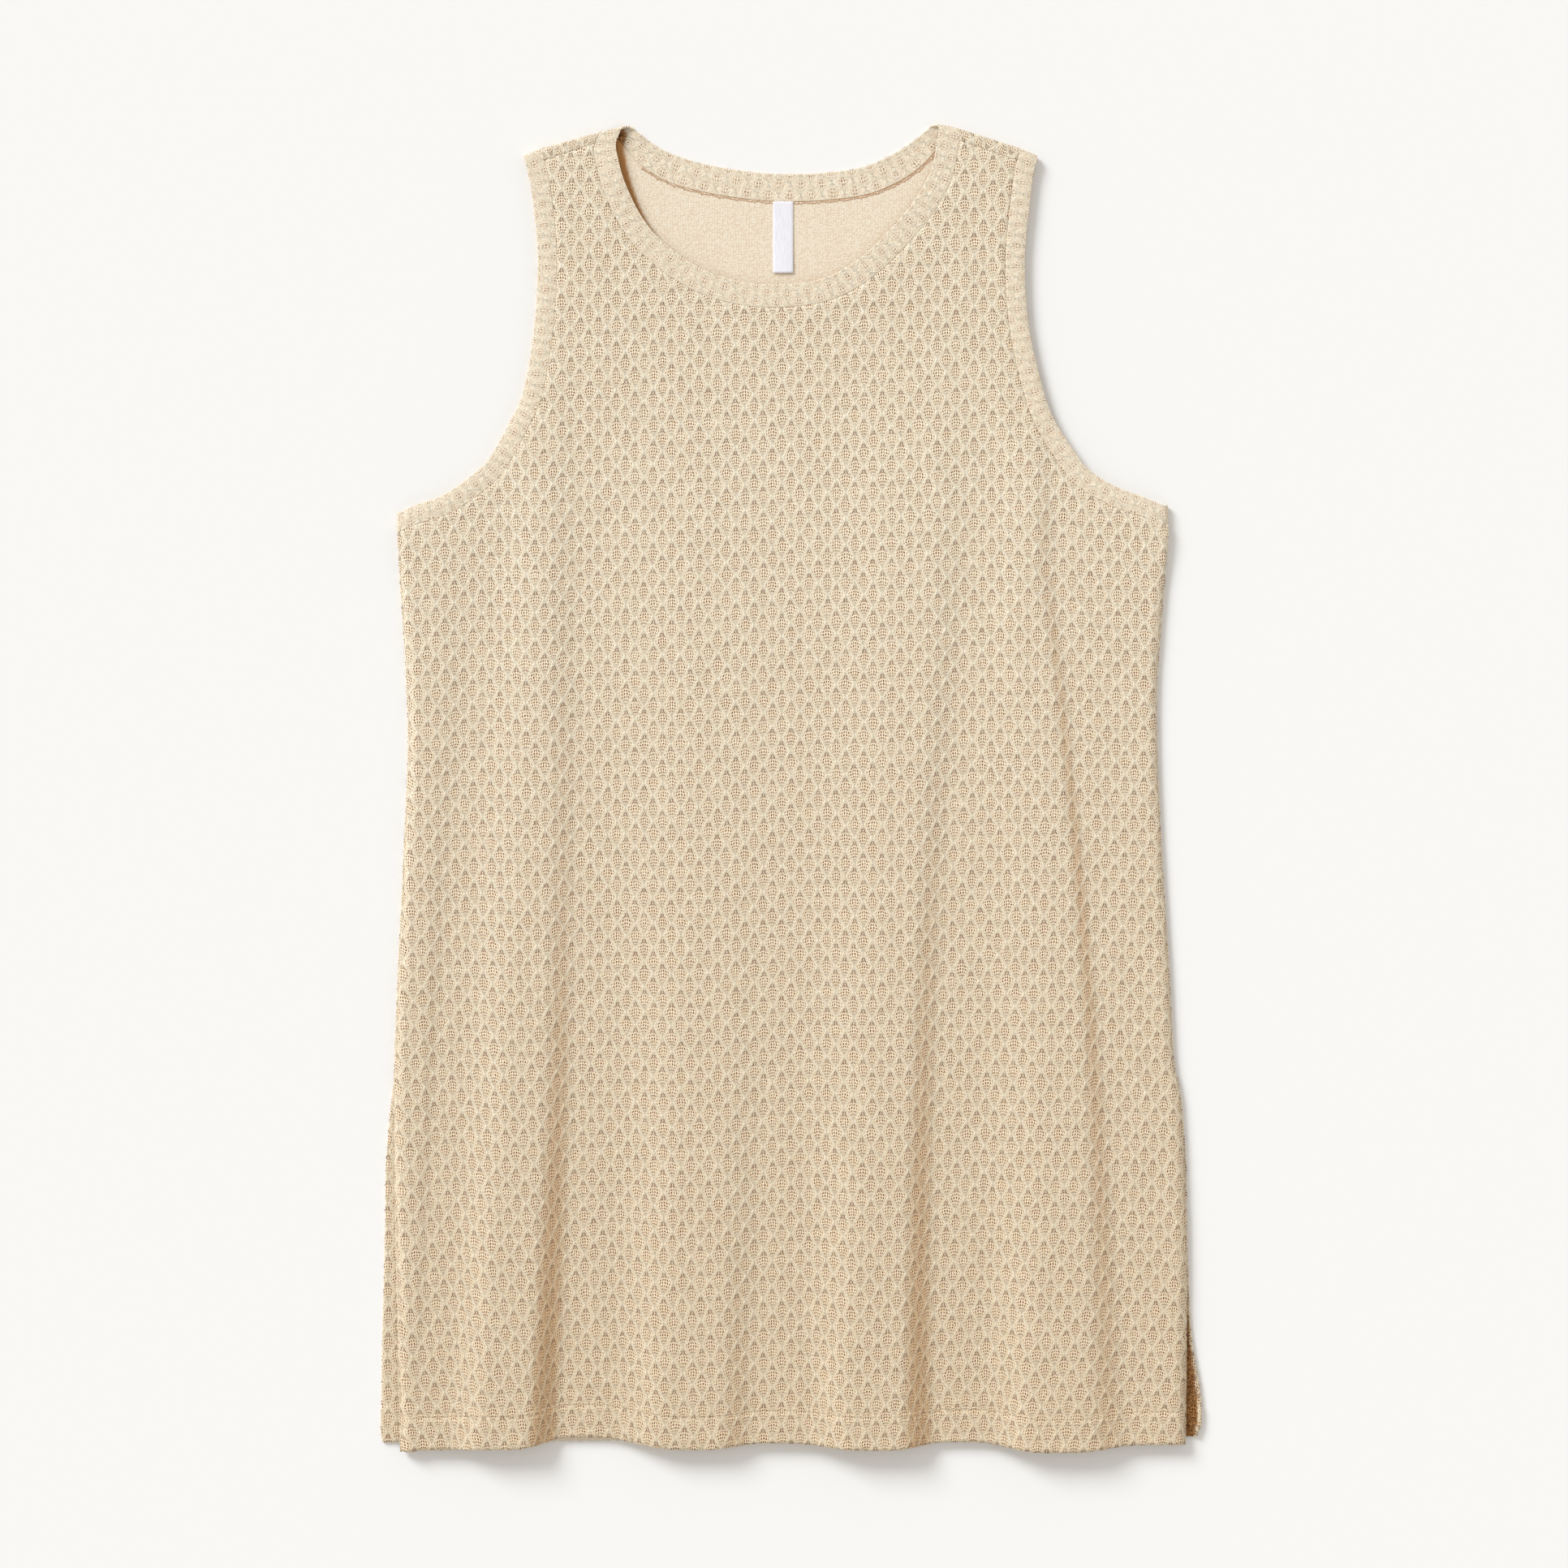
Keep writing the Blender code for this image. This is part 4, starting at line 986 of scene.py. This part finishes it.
def front_panel():
    flap = SHOULDER_SEAM_FORWARD - 3 * MM + SEAM_GAP / 2
    neck = shortened(shortened(neck_front_edge, flap)[::-1], flap)
    arms = {side: shortened(arm_edge[side], flap) for side in SIDES}
    shoulders = {side: shoulder_row(arms[side][-1], neck[0 if side > 0 else -1])[1:-1] for side in SIDES}
    x = np.linspace(side_rows[0, 1], side_rows[0, 2], 390)
    hem = np.column_stack([x, hem_line(x)])
    sides = {}
    for side in SIDES:
        curve = side_curve[side]
        corner = (curve[-1, 0], arm_edge[side][0, 1])
        curve = curve[curve[:, 1] > hem[0 if side < 0 else -1, 1] + EDGE_STEP / 2]
        sides[side] = np.vstack([uneven(curve, 4 + side), [corner]])
    outline = [uneven(hem, 1), sides[1], arms[1], shoulders[1], neck]
    outline = np.vstack([*outline, shoulders[-1][::-1], arms[-1][::-1], sides[-1][::-1]])
    grid = cloth_grid(DIAMOND_WIDTH / 6, DIAMOND_HEIGHT / 8, LOWEST, HIGHEST)
    points, faces = fill(outline, grid, 1.1 * MM)
    inner_grid = cloth_grid(INNER_STEP, INNER_STEP, LOWEST, HIGHEST)
    inner_points, inner_faces = fill(outline, inner_grid, INNER_STEP / 2)
    above_hem = points[:, 1] - hem_line(points[:, 0])
    wall = np.where(above_hem < HEM_DEPTH, HEM_CLOTH, BODY_CLOTH)
    cloth, fall = on_folds(points)
    from_edge = np.minimum(distance_to(points, free_edges[0]), distance_to(points, free_edges[1]))
    fall = fall * swing((from_edge - FALL_START) / FALL_FADE)
    from_edge = np.minimum(from_edge, np.abs(above_hem))
    relief = ridges(cloth, DIAMOND_WIDTH, DIAMOND_HEIGHT, fall) - LEVEL_RIDGE
    wall = wall + RIDGE_RELIEF * relief * swing(from_edge / RELIEF_FADE)
    seams = [respaced(line, 8 * EDGE_STEP) for line in (neck, *arms.values())]
    from_seam = np.min([distance_to(points, line) for line in seams], 0)
    wall = wall - SEAM_DIP * np.exp(-((from_seam / SEAM_DIP_WIDTH) ** 2))
    wall = wall - HEM_FURROW * np.exp(-(((above_hem - HEM_DEPTH) / HEM_FURROW_WIDTH) ** 2))
    outer, _ = front_wall(points, wall)
    _, inner = front_wall(inner_points, BODY_CLOTH)
    rim = np.arange(len(outline))
    places = (cloth, on_cloth(inner_points))
    marks = [("fall", fall, np.zeros(len(inner)))]
    looks = [body_knit, wrong_side]
    return walled("front_panel_cloth", outer, faces, inner, inner_faces, rim, places, looks, marks)


STITCH_ROWS = (19 * MM, 23 * MM)
STITCH_STEP = 3.4 * MM
STITCH_LENGTH = 2.7 * MM
# A stitch's height along it: it dives into the cloth at both ends.
STITCH_ARCH = np.array((-0.45, 0.15, 0.2, 0.15, -0.45)) * MM
COVER_RADIUS = 0.22 * MM


def cover_stitch():
    """Two rows of stitches that hold the hem, 19 and 23 mm above its edge."""
    runs = []
    for depth in STITCH_ROWS:
        for start in np.arange(-0.252, 0.266, STITCH_STEP):
            x = start + np.linspace(0, STITCH_LENGTH, len(STITCH_ARCH))
            places = np.column_stack([x, hem_line(x) + depth])
            outer, _ = front_wall(places, HEM_CLOTH - HEM_FURROW * 0.3)
            runs.append(outer + np.outer(STITCH_ARCH, (0, 0, 1)))
    return threads("cover_stitch_thread", runs, COVER_RADIUS, "#e6d7bb")


panel_sheet(front_panel(), "front_panel", cover_stitch())

# ---- Neck band -----------------------------------------------------------------------------------------
# A strip of the same knit, doubled over and sewn round the neck, so its diamonds are stretched along it and
# less open. Its outside is a little domed between the free edge and the sunk seam.

BAND_CLOTH = 1.8 * MM
BAND_DOME = 0.35 * MM
BAND_DIAMOND_WIDTH = 14.4 * MM
BAND_DIAMOND_HEIGHT = 12.0 * MM
BAND_POINTS = 13
BAND_LEVEL_RIDGE = 0.6
TURN_STEPS = 10
BAND_COLOURS = ("#f8eed8", "#faf4e6", "#f7e9d3", "#d9b287", "#6c3d1c")
band_knit = pointelle(
    "band_pointelle",
    BAND_DIAMOND_WIDTH,
    BAND_DIAMOND_HEIGHT,
    BAND_COLOURS,
    openness=0.62,
    reach=(2.3, 0.6),
    ridge_show=0.3,
)


def section(count):
    """Shares across a band, closer together at its edges, and the dome's rise there."""
    share = swing(np.linspace(0, 1, count))
    return share, np.sin(share * math.pi) ** 0.5


def band(name, parts, closed_width):
    """A band from its stations: (outer points, inner points), each from the free edge to the seam."""
    share, rise = section(BAND_POINTS)
    outer, inner = (np.array([station[k] for station in parts]) for k in (0, 1))
    away = unit(outer - inner)
    middle = outer[:, BAND_POINTS // 2]
    along = run_length(middle)
    total = along[-1] + np.linalg.norm(middle[0] - middle[-1])
    fitted = round(total / BAND_DIAMOND_WIDTH) * BAND_DIAMOND_WIDTH
    u = along / total * fitted
    cloth = np.stack(np.broadcast_arrays(u[:, None], share * closed_width), -1)
    relief = ridges(cloth.reshape(-1, 2), BAND_DIAMOND_WIDTH, BAND_DIAMOND_HEIGHT).reshape(len(u), -1)
    lift = BAND_DOME * (rise - 1) + 0.5 * RIDGE_RELIEF * (relief - BAND_LEVEL_RIDGE) * rise
    outer = outer + away * lift[..., None]
    inner = inner - away * (BAND_DOME * 0.4 * (rise - 1))[..., None]
    loop = np.concatenate([outer, inner[:, ::-1]], 1)
    width = loop.shape[1]
    places = np.concatenate([cloth, cloth[:, ::-1]], 1)
    index = np.arange(loop.shape[0] * width).reshape(-1, width)
    a, b = index, np.roll(index, -1, 0)
    faces = np.stack([a, np.roll(a, -1, 1), np.roll(b, -1, 1), b], -1).reshape(-1, 4)
    one, two, three = (loop.reshape(-1, 3)[faces[0, k]] for k in (0, 1, 2))
    if np.cross(two - one, three - one) @ (outer[0, 0] - inner[0, 0]) < 0:
        faces = faces[:, ::-1]
    looks = [0] * len(faces)
    points, places = loop.reshape(-1, 3), places.reshape(-1, 2)
    # Painted shade beside the front's left neck edge, on the band's lower layer
    marks = [("shade", neck_shade(points[:, :2]) * (points[:, 2] < 2 * BAND_CLOTH))]
    made = cloth_object(name, points, faces.tolist(), looks, places, [band_knit], fitted, marks)
    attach(made, "root")
    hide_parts(name.replace("_cloth", ""))


def stations(front, front_steps, back, back_steps, first_toward):
    """A band's stations: along its front, over to its back, back along that, and over at its first end."""
    share, _ = section(BAND_POINTS)
    front_rows, back_rows = (
        [start + np.outer(share, step) for start, step in zip(*lines)]
        for lines in ((front, front_steps), (back, back_steps))
    )
    parts = [front_wall(row, BAND_CLOTH) for row in front_rows]
    parts += turn_wall(front_rows[-1], back_rows[-1], (0, 1), BAND_CLOTH, TURN_STEPS)
    parts += [back_wall(row, BAND_CLOTH) for row in back_rows[::-1]]
    return parts + turn_wall(front_rows[0], back_rows[0], first_toward, BAND_CLOTH, TURN_STEPS)[::-1]


parts = stations(neck_front, neck_front_steps, neck_back, neck_back_steps, (0, 1))
band("neck_band_cloth", parts, NECK_BAND_WIDTH)

# ---- Armhole bands -------------------------------------------------------------------------------------
# The same doubled strip of knit round each armhole, a little narrower. It is sewn to front and back with a
# sunk seam, and turns over at the shoulder and under the arm.

for side, name in ((-1, "armhole_band_left"), (1, "armhole_band_right")):
    lines = arm_curve[side], arm_steps[side]
    band(name + "_cloth", stations(*lines, *lines, (side, 0)), ARM_BAND_WIDTH)

# ---- Label ---------------------------------------------------------------------------------------------
# A woven polyester satin label, caught in the back neck seam and hanging from it. It is left bare. Its long
# edges are cut hot and its free end is a little raised.

LABEL_WIDTH = 13.2 * MM
LABEL_LENGTH = 47.9 * MM
LABEL_CLOTH = 1.0 * MM
LABEL_WALL = 0.7 * LABEL_CLOTH
LABEL_LIFT = 0.6 * MM
LABEL_DOME = 0.25 * MM

# Woven satin is smooth, with a soft sheen across its fine warp.
finish = {"Roughness": 0.38, "Specular IOR Level": 0.5, "Anisotropic": 0.4}
satin, tree, shader = new_material("white_satin", finish)
cloth = add(tree, "ShaderNodeUVMap", uv_map="cloth")
# Warp threads 0.4 mm apart, with painted soft shadows 8 mm long along them
stretched = add(tree, "ShaderNodeVectorMath", (cloth, (2.5, 0.12, 1.0)), operation="MULTIPLY")
warp = add(tree, NOISE, {"Vector": stretched, "Scale": 1.0, "Detail": 2.0})
tone = add(tree, MIX, {0: warp, 6: linear("#d7d3df"), 7: linear("#fafafa")}, data_type="RGBA")
tree.links.new(tone.outputs[2], shader.inputs["Base Color"])
bump = add(tree, "ShaderNodeBump", {"Height": warp, "Distance": 0.05 * MM})
tree.links.new(bump.outputs[0], shader.inputs["Normal"])

top = neck_back_edge[:, 1].min() - SEAM_GAP
shares = np.linspace(0, 1, 40)
widths = np.linspace(-0.5, 0.5, 11)
base = BODY_CLOTH + SEAM_GAP
points = []
for share in shares:
    for width in widths:
        rise = LABEL_LIFT * share**3 + LABEL_DOME * math.cos(width * math.pi) * share
        points.append((LABEL_CENTRE + width * LABEL_WIDTH, top - share * LABEL_LENGTH, base + rise))
points = np.array(points)
index = np.arange(len(points)).reshape(len(shares), -1)
a, b, c, d = (part.ravel() for part in (index[:-1, :-1], index[1:, :-1], index[1:, 1:], index[:-1, 1:]))
faces = np.vstack([np.column_stack([a, b, c]), np.column_stack([a, c, d])])
upper, places = points + (0, 0, LABEL_WALL), (points[:, :2], points[:, :2])
label = walled("label_satin", upper, faces, points, faces, boundary(faces), places, [satin, satin])
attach(label, "root")
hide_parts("label")

# ---- Ground, light and camera --------------------------------------------------------------------------
# A sheet of white paper for a ground, a broad soft light from the upper left and an even room light, seen
# from straight above.

PHOTO_WIDTH = 1932 * 0.55 * MM
PHOTO_CENTRE = np.array((1.65, 449.4)) * MM
CAMERA_HEIGHT = 3.0
SUN_ELEVATION = math.radians(29)
SUN_AZIMUTH = math.radians(135)
FLOOR_REACH = 4.0
FLOOR_GAP = 0.05 * MM

# Uncoated paper is matt, so that it takes only soft shadows.
finish = {"Base Color": linear("#f0efed"), "Roughness": 0.95, "Specular IOR Level": 0.1}
paper, _, _ = new_material("white_paper", finish)
corners = [(x * FLOOR_REACH, y * FLOOR_REACH, 0) for x, y in ((-1, -1), (1, -1), (1, 1), (-1, 1))]
floor = placed("floor", new_mesh("floor", corners, [(0, 1, 2, 3)], [paper]))
floor.location.z = -FLOOR_GAP

sun_data = bpy.data.lights.new("window", "SUN")
sun_data.energy = 2.7
sun_data.angle = math.radians(24)
sun_data.color = (0.955, 0.995, 1.045)
level = math.cos(SUN_ELEVATION)
toward = (math.cos(SUN_AZIMUTH) * level, math.sin(SUN_AZIMUTH) * level, math.sin(SUN_ELEVATION))
sun = placed("window", sun_data)
sun.rotation_euler = Vector(toward).to_track_quat("Z", "Y").to_euler()

world = bpy.data.worlds.new("room")
world.use_nodes = True
room_light = world.node_tree.nodes["Background"].inputs
room_light["Color"].default_value = (1.03, 1.0, 0.96, 1)
room_light["Strength"].default_value = 0.675
bpy.context.scene.world = world
bpy.context.scene.view_settings.view_transform = "Standard"

camera_data = bpy.data.cameras.new("camera")
camera_data.sensor_width = 36.0
camera_data.lens = 36.0 * CAMERA_HEIGHT / PHOTO_WIDTH
camera_data.clip_end = 20.0
camera = placed("camera", camera_data)
camera.location = (*(PHOTO_CENTRE - ORIGIN[:2]), CAMERA_HEIGHT)
bpy.context.scene.camera = camera
